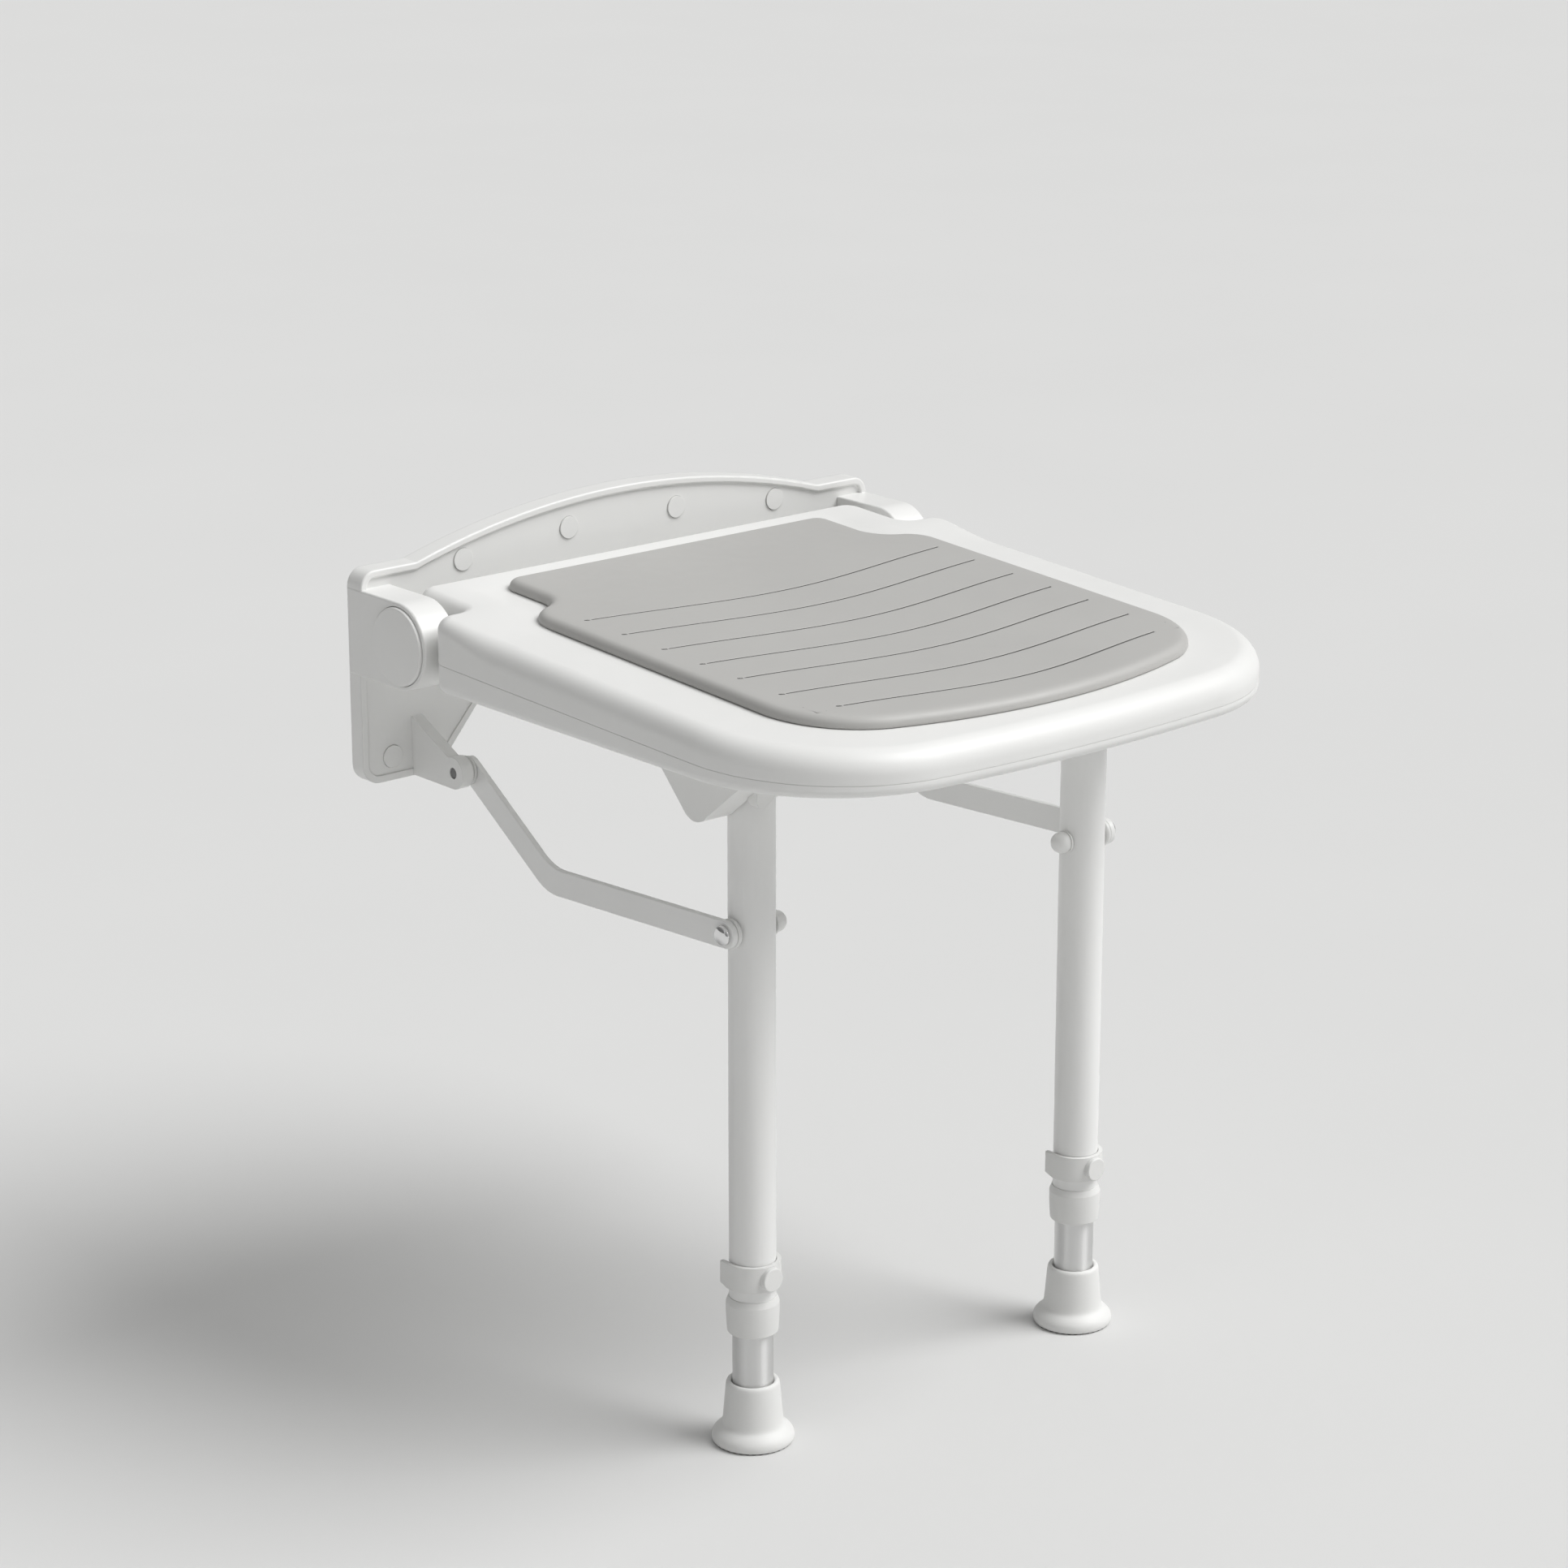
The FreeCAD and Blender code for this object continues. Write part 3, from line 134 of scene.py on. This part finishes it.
WHITE = plastic("white_moulding", (0.81, 0.81, 0.798), (0.795, 0.795, 0.782), 0.36, soft_edge=0.0007)
SHELL = plastic("white_shell", (0.80, 0.80, 0.788), (0.787, 0.787, 0.774), 0.42)
COAT = plastic("white_coating", (0.84, 0.84, 0.83), (0.83, 0.83, 0.82), 0.33, grain=1500.0, grain_h=0.000006, spread=0.03, soft_edge=0.0004)
LIGHT = plastic("light_plastic", (0.77, 0.77, 0.757), (0.755, 0.755, 0.742), 0.42, soft_edge=0.0005)
PAD = plastic("grey_pad", (0.475, 0.470, 0.455), (0.462, 0.457, 0.443), 0.46, grain=1600.0, grain_h=0.00004)
# near-black colour for the inside of the pad grooves: painted shade standing in for the shadow in these narrow grooves
PAD_GROOVE_SHADE = plastic("pad_groove_painted_shade", (0.11, 0.109, 0.104), (0.10, 0.098, 0.094), 0.6)
FOOT = plastic("foot_rubber", (0.78, 0.78, 0.767), (0.765, 0.765, 0.752), 0.48)
# near-black colour for the lowest 0.8 mm of each foot, where it stands on the floor
FOOT_LOW_BAND = plastic("foot_low_band_dark", (0.11, 0.11, 0.105), (0.15, 0.15, 0.145), 0.7)


def metal(name, base, rough, streak, spread=0.08, aniso=0.0, turn=0.0, lift=0.00002):
    m, nt, s = new_mat(name)
    s.inputs["Metallic"].default_value = 1.0
    line = noise(nt, 120.0, 3.0, 0.6, stretch=streak)
    big = noise(nt, 14.0, 3.0)
    col = mix_col(nt, remap(nt, big, 0.3, 0.7, 0.0, 1.0), base, tuple(c * 0.94 for c in base))
    nt.links.new(col, s.inputs["Base Color"])
    nt.links.new(remap(nt, line, 0.25, 0.75, max(0.03, rough - spread), rough + spread), s.inputs["Roughness"])
    bump(nt, s, line, 0.15, lift)
    if aniso > 0:
        s.inputs["Anisotropic"].default_value = aniso
        s.inputs["Anisotropic Rotation"].default_value = turn
        tg = nt.nodes.new("ShaderNodeTangent")
        tg.direction_type = "RADIAL"
        tg.axis = "Z"
        nt.links.new(tg.outputs["Tangent"], s.inputs["Tangent"])
    return m


STEEL = metal("bright_steel", (0.62, 0.62, 0.62), 0.28, (1.0, 1.0, 14.0))
SPRING = metal("spring_steel", (0.30, 0.30, 0.31), 0.38, (10.0, 10.0, 1.0))
TUBE = metal("bright_tube", (0.80, 0.80, 0.795), 0.40, (1.0, 1.0, 16.0), 0.05, aniso=0.85, turn=0.25, lift=0.000005)
CHROME = metal("chrome_fastener", (0.80, 0.80, 0.80), 0.07, (6.0, 6.0, 6.0), 0.03)

SLOT_MAT = {
    "white_moulding": WHITE, "white_coating": COAT, "grey_pad": PAD, "light_plastic": LIGHT,
    "bright_steel": STEEL, "spring_steel": SPRING, "bright_tube": TUBE, "chrome_fastener": CHROME, "foot_rubber": FOOT,
}
slots = {s["node"]: s["material_slot"] for s in frame["record"]["subparts"]}
# dark metal for the pivot pins: painted shade for the recessed pin ends in their holes
PIVOT_PIN_SHADE = metal("pivot_pin_painted_shade", (0.20, 0.20, 0.20), 0.45, (6.0, 6.0, 6.0), 0.06)
for nm, ob in NODE.items():
    ob.data.materials.clear()
    if nm.startswith("link_pivot_pin"):
        ob.data.materials.append(PIVOT_PIN_SHADE)
    elif nm.startswith("link_washers"):
        ob.data.materials.append(WHITE)
    else:
        ob.data.materials.append(SLOT_MAT[slots[nm]])

# ---------------------------------------------------------------------------
# Shape helpers, in millimetres
# ---------------------------------------------------------------------------
SEAT_SLOPE, RIM_Z, RIM_Y = 0.052, 21.3, 177.0


def slope_z(y, lift=0.0):
    return RIM_Z + lift + SEAT_SLOPE * (y + RIM_Y)


def arc_pts(cx, cy, r, a0, a1, step=1.6):
    n = max(3, int(abs(math.radians(a1 - a0)) * r / step) + 1)
    return [(cx + r * math.cos(math.radians(a0 + (a1 - a0) * i / n)), cy + r * math.sin(math.radians(a0 + (a1 - a0) * i / n)))
            for i in range(n + 1)]


def seg_pts(a, b, step=4.0):
    L = math.hypot(b[0] - a[0], b[1] - a[1])
    n = max(1, int(L / step))
    return [(a[0] + (b[0] - a[0]) * i / n, a[1] + (b[1] - a[1]) * i / n) for i in range(1, n)]


def chain(parts):
    """Joins arcs, filling the straight runs between them."""
    out = []
    for i, p in enumerate(parts):
        if out:
            out += seg_pts(out[-1], p[0])
        for q in p:
            if not out or math.hypot(q[0] - out[-1][0], q[1] - out[-1][1]) > 0.05:
                out.append(q)
    return out


def mirror_loop(right):
    """right runs from the rear centre to the front centre on the +X side; the loop is closed on the -X side."""
    left = [(-x, y) for x, y in reversed(right) if x > 0.05]
    return right + left


def normals2d(loop):
    n = len(loop)
    out = []
    for i in range(n):
        ax, ay = loop[i - 1]
        bx, by = loop[(i + 1) % n]
        dx, dy = bx - ax, by - ay
        L = math.hypot(dx, dy) or 1.0
        out.append((-dy / L, dx / L))
    return out


def inset(loop, nrm, d):
    return [(p[0] + q[0] * d, p[1] + q[1] * d) for p, q in zip(loop, nrm)]


def inward(loop):
    nrm = normals2d(loop)
    area2 = sum(loop[i - 1][0] * loop[i][1] - loop[i][0] * loop[i - 1][1] for i in range(len(loop)))
    if area2 < 0:
        nrm = [(-a, -b) for a, b in nrm]
    return nrm


def add_mesh(name, verts, faces, mat, smooth=True, angle=40.0):
    me = bpy.data.meshes.new(name)
    me.from_pydata([(x * MM, y * MM, z * MM) for x, y, z in verts], [], faces)
    me.validate()
    bm = bmesh.new()
    bm.from_mesh(me)
    bmesh.ops.remove_doubles(bm, verts=bm.verts, dist=1e-6)
    bmesh.ops.recalc_face_normals(bm, faces=bm.faces)
    bm.to_mesh(me)
    bm.free()
    me.materials.append(mat)
    o = bpy.data.objects.new(name, me)
    scene.collection.objects.link(o)
    if smooth:
        for f in me.polygons:
            f.use_smooth = True
        me.set_sharp_from_angle(angle=math.radians(angle))
    return o


def ring_faces(k, n):
    """Quads between ring k and ring k+1, each of n vertices."""
    a, b = k * n, (k + 1) * n
    return [(a + i, a + (i + 1) % n, b + (i + 1) % n, b + i) for i in range(n)]


def inside(p, loop):
    x, y = p
    c = False
    j = len(loop) - 1
    for i in range(len(loop)):
        xi, yi = loop[i]
        xj, yj = loop[j]
        if (yi > y) != (yj > y) and x < (xj - xi) * (y - yi) / (yj - yi) + xi:
            c = not c
        j = i
    return c


# ---------------------------------------------------------------------------
# Soft pad: rolled edge, seven curved grooves pressed into the top, their insides coloured near-black as painted shade
# ---------------------------------------------------------------------------
def pad_loop():
    pn, pw, pr, pf = 146.0, 179.0, 63.0, 468.0
    t70 = math.radians(70.0)
    nr = (pw - pn) / (2 * (1 - math.cos(t70)))
    ny0 = -108.0
    ny2 = ny0 - 2 * nr * math.sin(t70)
    big, c = 434.0, 74.0
    fa = math.asin((pw - c) / (big - c))
    fy0 = -pf + big * (1 - math.cos(fa))
    fcy = fy0 + c * math.cos(fa)
    deg = math.degrees(fa)
    right = chain([
        [(0.0, -pr)],
        arc_pts(pn - 12.0, -pr - 12.0, 12.0, 90.0, 0.0, 1.0),
        arc_pts(pn + nr, ny0, nr, 180.0, 250.0, 1.2),
        arc_pts(pw - nr, ny2, nr, 70.0, 0.0, 1.2),
        arc_pts(pw - c, fcy, c, 0.0, -(90.0 - deg), 1.8),
        arc_pts(0.0, -pf + big, big, -(90.0 - deg), -90.0, 4.0),
    ])
    return mirror_loop(right)


GROOVES = [(159.9, -176.7), (159.1, -216.0), (158.0, -256.7), (157.5, -295.8), (157.1, -333.4), (156.5, -373.9), (141.9, -413.3)]
BOW = 20.5
LIFT = 8.3


def bow(x, xe):
    u = max(-1.0, min(1.0, x / xe))
    return -BOW * (0.45 * (1 - u * u) + 0.275 * (1 + math.cos(math.pi * u)))


def smooth01(t):
    t = max(0.0, min(1.0, t))
    return t * t * (3 - 2 * t)


def build_pad():
    loop = pad_loop()
    nrm = inward(loop)
    n = len(loop)
    prof = [(2.4, 0.05), (1.5, 0.12), (0.7, 0.35), (0.2, 0.8), (0.0, 1.4), (0.05, 2.2)]
    for k in range(1, 11):
        a = math.radians(84.0 * k / 10)
        prof.append((0.05 + 6.4 * (1 - math.cos(a)), 2.2 + 5.9 * math.sin(a)))
    prof += [(7.2, 8.2), (8.8, 8.27), (10.8, LIFT)]
    verts, faces = [], []
    for k, (d, lift) in enumerate(prof):
        for x, y in inset(loop, nrm, d):
            verts.append((x, y, slope_z(y, lift)))
        if k:
            faces += ring_faces(k - 1, n)
    faces.append(tuple(range(n)))
    last = [(v[0], v[1]) for v in verts[-n:]]
    # grid that carries the grooves
    xs = []
    x = -163.0
    while x < 163.0 + 1e-6:
        xs.append(x)
        x += 0.42 if (x < -137.0 or x > 137.0) else 3.0
    xs.append(163.0)
    offs = [3.0, 1.5, 1.02, 0.88, 0.76, 0.62, 0.30, 0.0, -0.30, -0.62, -0.76, -0.88, -1.02, -1.5, -3.0]
    deep = [0.0, 0.0, 0.05, 0.22, 0.68, 0.97, 1.0, 1.0, 1.0, 0.97, 0.68, 0.22, 0.05, 0.0, 0.0]
    rows = []
    for gi, (xe, ye) in enumerate(GROOVES):
        for s, dd in zip(offs, deep):
            row = []
            for x in xs:
                b0, b1 = bow(x - 0.5, xe), bow(x + 0.5, xe)
                st = math.sqrt(1 + (b1 - b0) ** 2)
                t = x + xe
                # the left end stops short and is followed by a small slanted nick
                run = smooth01((xe + 0.5 - x) / 1.2) * smooth01((t - 2.6) / 1.0)
                nick = smooth01((t + 2.4) / 0.7) * smooth01((1.3 - t) / 0.7)
                slant = -0.42 * max(-2.6, min(1.6, t)) * (1 - smooth01((t - 1.4) / 1.6))
                row.append((x, ye + bow(x, xe) + s * st + slant * (1 if abs(s) < 2.9 else 0.4), dd * max(run, 1.15 * nick) * 1.1))
            rows.append(row)
        if gi < 6:
            xe2, ye2 = GROOVES[gi + 1]
            for f in (0.25, 0.5, 0.75):
                row = []
                for x in xs:
                    a = ye + bow(x, xe) - 3.0
                    b = ye2 + bow(x, xe2) + 3.0
                    row.append((x, a + (b - a) * f, 0.0))
                rows.append(row)
    base = len(verts)
    m = len(xs)
    for row in rows:
        for x, y, d in row:
            verts.append((x, y, slope_z(y, LIFT - d)))
    for r in range(len(rows) - 1):
        for c in range(m - 1):
            i = base + r * m + c
            faces.append((i, i + 1, i + m + 1, i + m))
    top = [base + c for c in range(m)]
    right = [base + r * m + m - 1 for r in range(1, len(rows))]
    low = [base + (len(rows) - 1) * m + c for c in range(m - 2, -1, -1)]
    left = [base + r * m for r in range(len(rows) - 2, 0, -1)]
    hole = top + right + low + left
    ring = list(range(len(prof) * n - n, len(prof) * n))
    ids = ring + hole
    pts = [Vector((verts[i][0], verts[i][1])) for i in ids]
    e = [(i, (i + 1) % n) for i in range(n)]
    h = len(hole)
    e += [(n + i, n + (i + 1) % h) for i in range(h)]
    out = delaunay_2d_cdt(pts, e, [], 0, 1e-6)
    hole2 = [(verts[i][0], verts[i][1]) for i in hole]
    back = [ids[o[0]] if o else None for o in out[3]]
    for tri in out[2]:
        cx = sum(out[0][i][0] for i in tri) / 3
        cy = sum(out[0][i][1] for i in tri) / 3
        if inside((cx, cy), last) and not inside((cx, cy), hole2):
            if all(back[i] is not None for i in tri):
                faces.append(tuple(back[i] for i in tri))
    o = add_mesh("soft_pad", verts, faces, PAD, angle=60.0)
    # faces sunk more than 0.16 mm below the pad top, inside the rim, take the near-black groove colour: painted shade
    # in the grooves and their end nicks
    o.data.materials.append(PAD_GROOVE_SHADE)
    middle = inset(loop, nrm, 12.0)
    for f in o.data.polygons:
        x, y, z = (c / MM for c in f.center)
        if z < slope_z(y, LIFT - 0.16) and inside((x, y), middle):
            f.material_index = 1
    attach(o, "seat")
    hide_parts("seat_pad")
    return o


build_pad()


# ---------------------------------------------------------------------------
# Seat top: rolled rim over the parting line
# ---------------------------------------------------------------------------
def seat_loop():
    sn, sr, ss, sh = 202.0, 33.0, 95.0, 233.0
    c = 15.6
    r, big, front = 118.0, 1325.0, 498.5
    fa = math.asin((sh - r) / (big - r))
    fy = -front + big * (1 - math.cos(fa))
    cy = fy + r * math.cos(fa)
    deg = math.degrees(fa)
    right = chain([
        [(0.0, -sr)],
        arc_pts(sn - c, -sr - c, c, 90.0, 0.0, 1.0),
        arc_pts(sn + 9.0, -ss + 9.0, 9.0, 180.0, 270.0, 0.9),
        arc_pts(sh - c, -ss - c, c, 90.0, 0.0, 1.0),
        arc_pts(sh - r, cy, r, 0.0, -(90.0 - deg), 2.2),
        arc_pts(0.0, -front + big, big, -(90.0 - deg), -90.0, 6.0),
    ])
    return mirror_loop(right)


def part_z(y):
    """Height of the parting line: sloping with the seat, stepping down beside the hinge."""
    if y > -86.0:
        return -11.0
    edge = -3.3 + 0.0322 * (-99.0 + 100.0)
    if y > -99.0:
        return edge + (-11.0 - edge) * (y + 99.0) / 13.0
    return -3.3 + 0.0322 * (y + 100.0)


def rear_rise(x, y):
    """The surface lifts a little behind the pad and on the shoulders beside it."""
    a = smooth01((y + 74.0) / 26.0)
    b = smooth01((abs(x) - 150.0) / 30.0) * smooth01((y + 170.0) / 75.0)
    return 3.4 * max(a, b)


def rim_round(y):
    """Radius of the rolled top edge: 15 mm round the sides and front, 9.5 mm at the rear."""
    return 15.0 - 5.5 * smooth01((y + 165.0) / 60.0)


def build_top():
    loop = seat_loop()
    nrm = inward(loop)
    n = len(loop)
    verts, faces = [], []
    k = 0

    def ring(d, zf):
        nonlocal k
        for x, y in inset(loop, nrm, d):
            verts.append((x, y, zf(y)))
        if k:
            faces.extend(ring_faces(k - 1, n))
        k += 1

    ring(3.5, lambda y: part_z(y) + 0.02)
    ring(0.34, lambda y: part_z(y) + 0.02)
    ring(0.22, lambda y: part_z(y) + 0.10)
    ring(0.08, lambda y: part_z(y) + 0.22)
    ring(0.0, lambda y: part_z(y) + 0.42)
    ring(0.0, lambda y: part_z(y) + 1.3)
    radii = [rim_round(y) for x, y in loop]
    for i in range(-1, 17):
        a = math.radians(90.0 * max(i, 0) / 16)
        for (x, y), (nx, ny), r in zip(loop, nrm, radii):
            d = r * (1 - math.cos(a))
            px, py = x + nx * d, y + ny * d
            verts.append((px, py, slope_z(y, rear_rise(x, y) - r + r * math.sin(a)) + SEAT_SLOPE * (py - y) * math.sin(a) - (0.4 if i < 0 else 0.0)))
        faces.extend(ring_faces(k - 1, n))
        k += 1
    last = [(v[0], v[1]) for v in verts[-n:]]
    ids = list(range(len(verts) - n, len(verts)))
    core = inset(loop, nrm, 21.0)
    grid = []
    for iy in range(0, 60):
        for ix in range(-29, 30):
            x, y = ix * 8.0, -38.0 - iy * 8.0
            if inside((x, y), core):
                grid.append((x, y))
    for x, y in grid:
        ids.append(len(verts))
        verts.append((x, y, slope_z(y, rear_rise(x, y))))
    out = delaunay_2d_cdt([Vector(p) for p in last] + [Vector(p) for p in grid], [(i, (i + 1) % n) for i in range(n)], [], 1, 1e-6)
    back = [ids[o[0]] if o else None for o in out[3]]
    for tri in out[2]:
        if all(back[i] is not None for i in tri):
            faces.append(tuple(back[i] for i in tri))
    o = add_mesh("seat_top", verts, faces, SHELL, angle=45.0)
    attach(o, "seat")
    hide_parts("seat_top_shell")
    return o


build_top()


# ---------------------------------------------------------------------------
# Feet: flared, with a fine serrated tread round the sole
# ---------------------------------------------------------------------------
FLOOR_MM = -518.0


def build_foot(side, x0):
    cx, cy, z0 = x0, -338.0, -518.0
    prof = [(0.0, 0.3), (8.0, 0.3), (8.6, 0.0), (12.0, 0.0), (12.6, 0.6), (15.4, 0.6), (16.0, 0.0), (19.4, 0.0), (20.0, 0.6), (22.6, 0.6),
            (23.2, 0.0), (26.6, 0.0), (27.0, 0.12), (27.0, 0.75), (26.9, 0.8)]
    prof += [(27.6, 0.95), (28.1, 1.7), (28.4, 2.9), (28.45, 4.2), (28.2, 5.6), (27.6, 7.0), (26.6, 8.4), (25.2, 9.8), (23.8, 10.9), (22.6, 11.8),
             (21.75, 12.8), (21.2, 14.0), (20.85, 15.6), (20.6, 17.6), (20.2, 22.0), (19.75, 27.5), (19.3, 33.0), (18.8, 38.5), (18.6, 41.0),
             (18.35, 42.7), (17.8, 43.9), (17.0, 44.5), (16.1, 44.6), (15.3, 44.3), (14.75, 43.7), (14.5, 42.6), (14.5, 36.0)]
    seg = 144
    verts, faces = [], []
    for j, (r, z) in enumerate(prof):
        for i in range(seg):
            a = 2 * math.pi * i / seg
            rr = r
            if 11 <= j <= 14:
                rr = r - (1.1 if (i // 2) % 2 else 0.0)
            verts.append((cx + rr * math.cos(a), cy + rr * math.sin(a), z0 + z))
        if j:
            faces += ring_faces(j - 1, seg)
    o = add_mesh("foot_" + side, verts, faces, FOOT, angle=38.0)
    # faces within 0.82 mm of the floor are coloured near-black
    o.data.materials.append(FOOT_LOW_BAND)
    for f in o.data.polygons:
        if f.center.z < FLOOR_MM * MM + 0.00082:
            f.material_index = 1
    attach(o, side + "_foot")
    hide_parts("foot_ferrule_" + side)


build_foot("left", -152.0)
build_foot("right", 152.0)

# ---------------------------------------------------------------------------
# Floor, light and camera
# ---------------------------------------------------------------------------
FLOOR_Z = -0.518


def stage_floor():
    me = bpy.data.meshes.new("floor")
    r = 40.0
    me.from_pydata([(-r, -r, FLOOR_Z), (r, -r, FLOOR_Z), (r, r, FLOOR_Z), (-r, r, FLOOR_Z)], [], [(0, 1, 2, 3)])
    o = bpy.data.objects.new("floor", me)
    scene.collection.objects.link(o)
    m, nt, s = new_mat("floor_paper")
    n = noise(nt, 3.0, 2.0)
    nt.links.new(mix_col(nt, n, (0.67, 0.67, 0.665), (0.687, 0.687, 0.682)), s.inputs["Base Color"])
    s.inputs["Roughness"].default_value = 0.85
    s.inputs["Specular IOR Level"].default_value = 0.2
    me.materials.append(m)
    return o


stage_floor()

# soft studio surround, brighter to the front right, with a narrow darker gap on the right
world = bpy.data.worlds.new("studio")
world.use_nodes = True
wt = world.node_tree
bg = wt.nodes["Background"]
bg.inputs["Color"].default_value = (1.0, 1.0, 0.995, 1.0)
wc = wt.nodes.new("ShaderNodeTexCoord")
sx = wt.nodes.new("ShaderNodeSeparateXYZ")
wt.links.new(wc.outputs["Generated"], sx.inputs["Vector"])
at = wt.nodes.new("ShaderNodeMath")
at.operation = "ARCTAN2"
wt.links.new(sx.outputs["X"], at.inputs[0])
wt.links.new(sx.outputs["Y"], at.inputs[1])
mr = wt.nodes.new("ShaderNodeMapRange")
mr.inputs["From Min"].default_value = -math.pi
mr.inputs["From Max"].default_value = math.pi
wt.links.new(at.outputs["Value"], mr.inputs["Value"])
cr = wt.nodes.new("ShaderNodeValToRGB")
wt.links.new(mr.outputs["Result"], cr.inputs["Fac"])
# compass bearing from +Y, clockwise, and the brightness there
STOPS = [(-180, 0.28), (-150, 0.23), (-90, 0.14), (-40, 0.15), (0, 0.22), (60, 0.26), (105, 0.30), (118, 0.10), (136, 0.10), (148, 0.52), (165, 0.52), (180, 0.28)]
cr.color_ramp.elements[0].color = (STOPS[0][1],) * 3 + (1.0,)
cr.color_ramp.elements[1].color = (STOPS[-1][1],) * 3 + (1.0,)
for deg, v in STOPS[1:-1]:
    cr.color_ramp.elements.new((deg + 180.0) / 360.0).color = (v, v, v, 1.0)
# and brighter overhead
up = wt.nodes.new("ShaderNodeMath")
up.operation = "MAXIMUM"
up.inputs[1].default_value = 0.0
wt.links.new(sx.outputs["Z"], up.inputs[0])
sq = wt.nodes.new("ShaderNodeMath")
sq.operation = "MULTIPLY"
wt.links.new(up.outputs["Value"], sq.inputs[0])
wt.links.new(up.outputs["Value"], sq.inputs[1])
ad = wt.nodes.new("ShaderNodeMath")
ad.operation = "MULTIPLY_ADD"
wt.links.new(sq.outputs["Value"], ad.inputs[0])
ad.inputs[1].default_value = 0.42
wt.links.new(cr.outputs["Color"], ad.inputs[2])
wt.links.new(ad.outputs["Value"], bg.inputs["Strength"])
scene.world = world


def aim(o, direction):
    o.rotation_euler = Vector(direction).to_track_quat("-Z", "Y").to_euler()


sun = bpy.data.lights.new("key_soft", "SUN")
sun.energy = 2.58
sun.angle = math.radians(38.0)
so = bpy.data.objects.new("key_soft", sun)
aim(so, (-0.445, 0.455, -0.771))
scene.collection.objects.link(so)


def area(name, loc, target, size, power, size_y=None):
    d = bpy.data.lights.new(name, "AREA")
    d.shape = "RECTANGLE"
    d.size = size
    d.size_y = size_y or size
    d.energy = power
    o = bpy.data.objects.new(name, d)
    o.location = loc
    aim(o, Vector(target) - Vector(loc))
    scene.collection.objects.link(o)
    return o


area("strip_left", (-2.3, -0.6, 0.6), (0, -0.3, -0.2), 0.5, 1.2, 1.8)

cam_data = bpy.data.cameras.new("camera")
cam_data.sensor_fit = "HORIZONTAL"
cam_data.sensor_width = 36.0
cam_data.lens = 5285.0 / 1932.0 * 36.0
cam_data.clip_start = 0.05
cam_data.clip_end = 60.0
cam = bpy.data.objects.new("camera", cam_data)
cam.location = (-1.8783, -2.3861, 0.7637)
az, el = math.radians(40.58), math.radians(16.90)
fwd = Vector((math.sin(az) * math.cos(el), math.cos(az) * math.cos(el), -math.sin(el)))
cam.rotation_euler = fwd.to_track_quat("-Z", "Y").to_euler()
scene.collection.objects.link(cam)
scene.camera = cam

scene.view_settings.view_transform = "Standard"
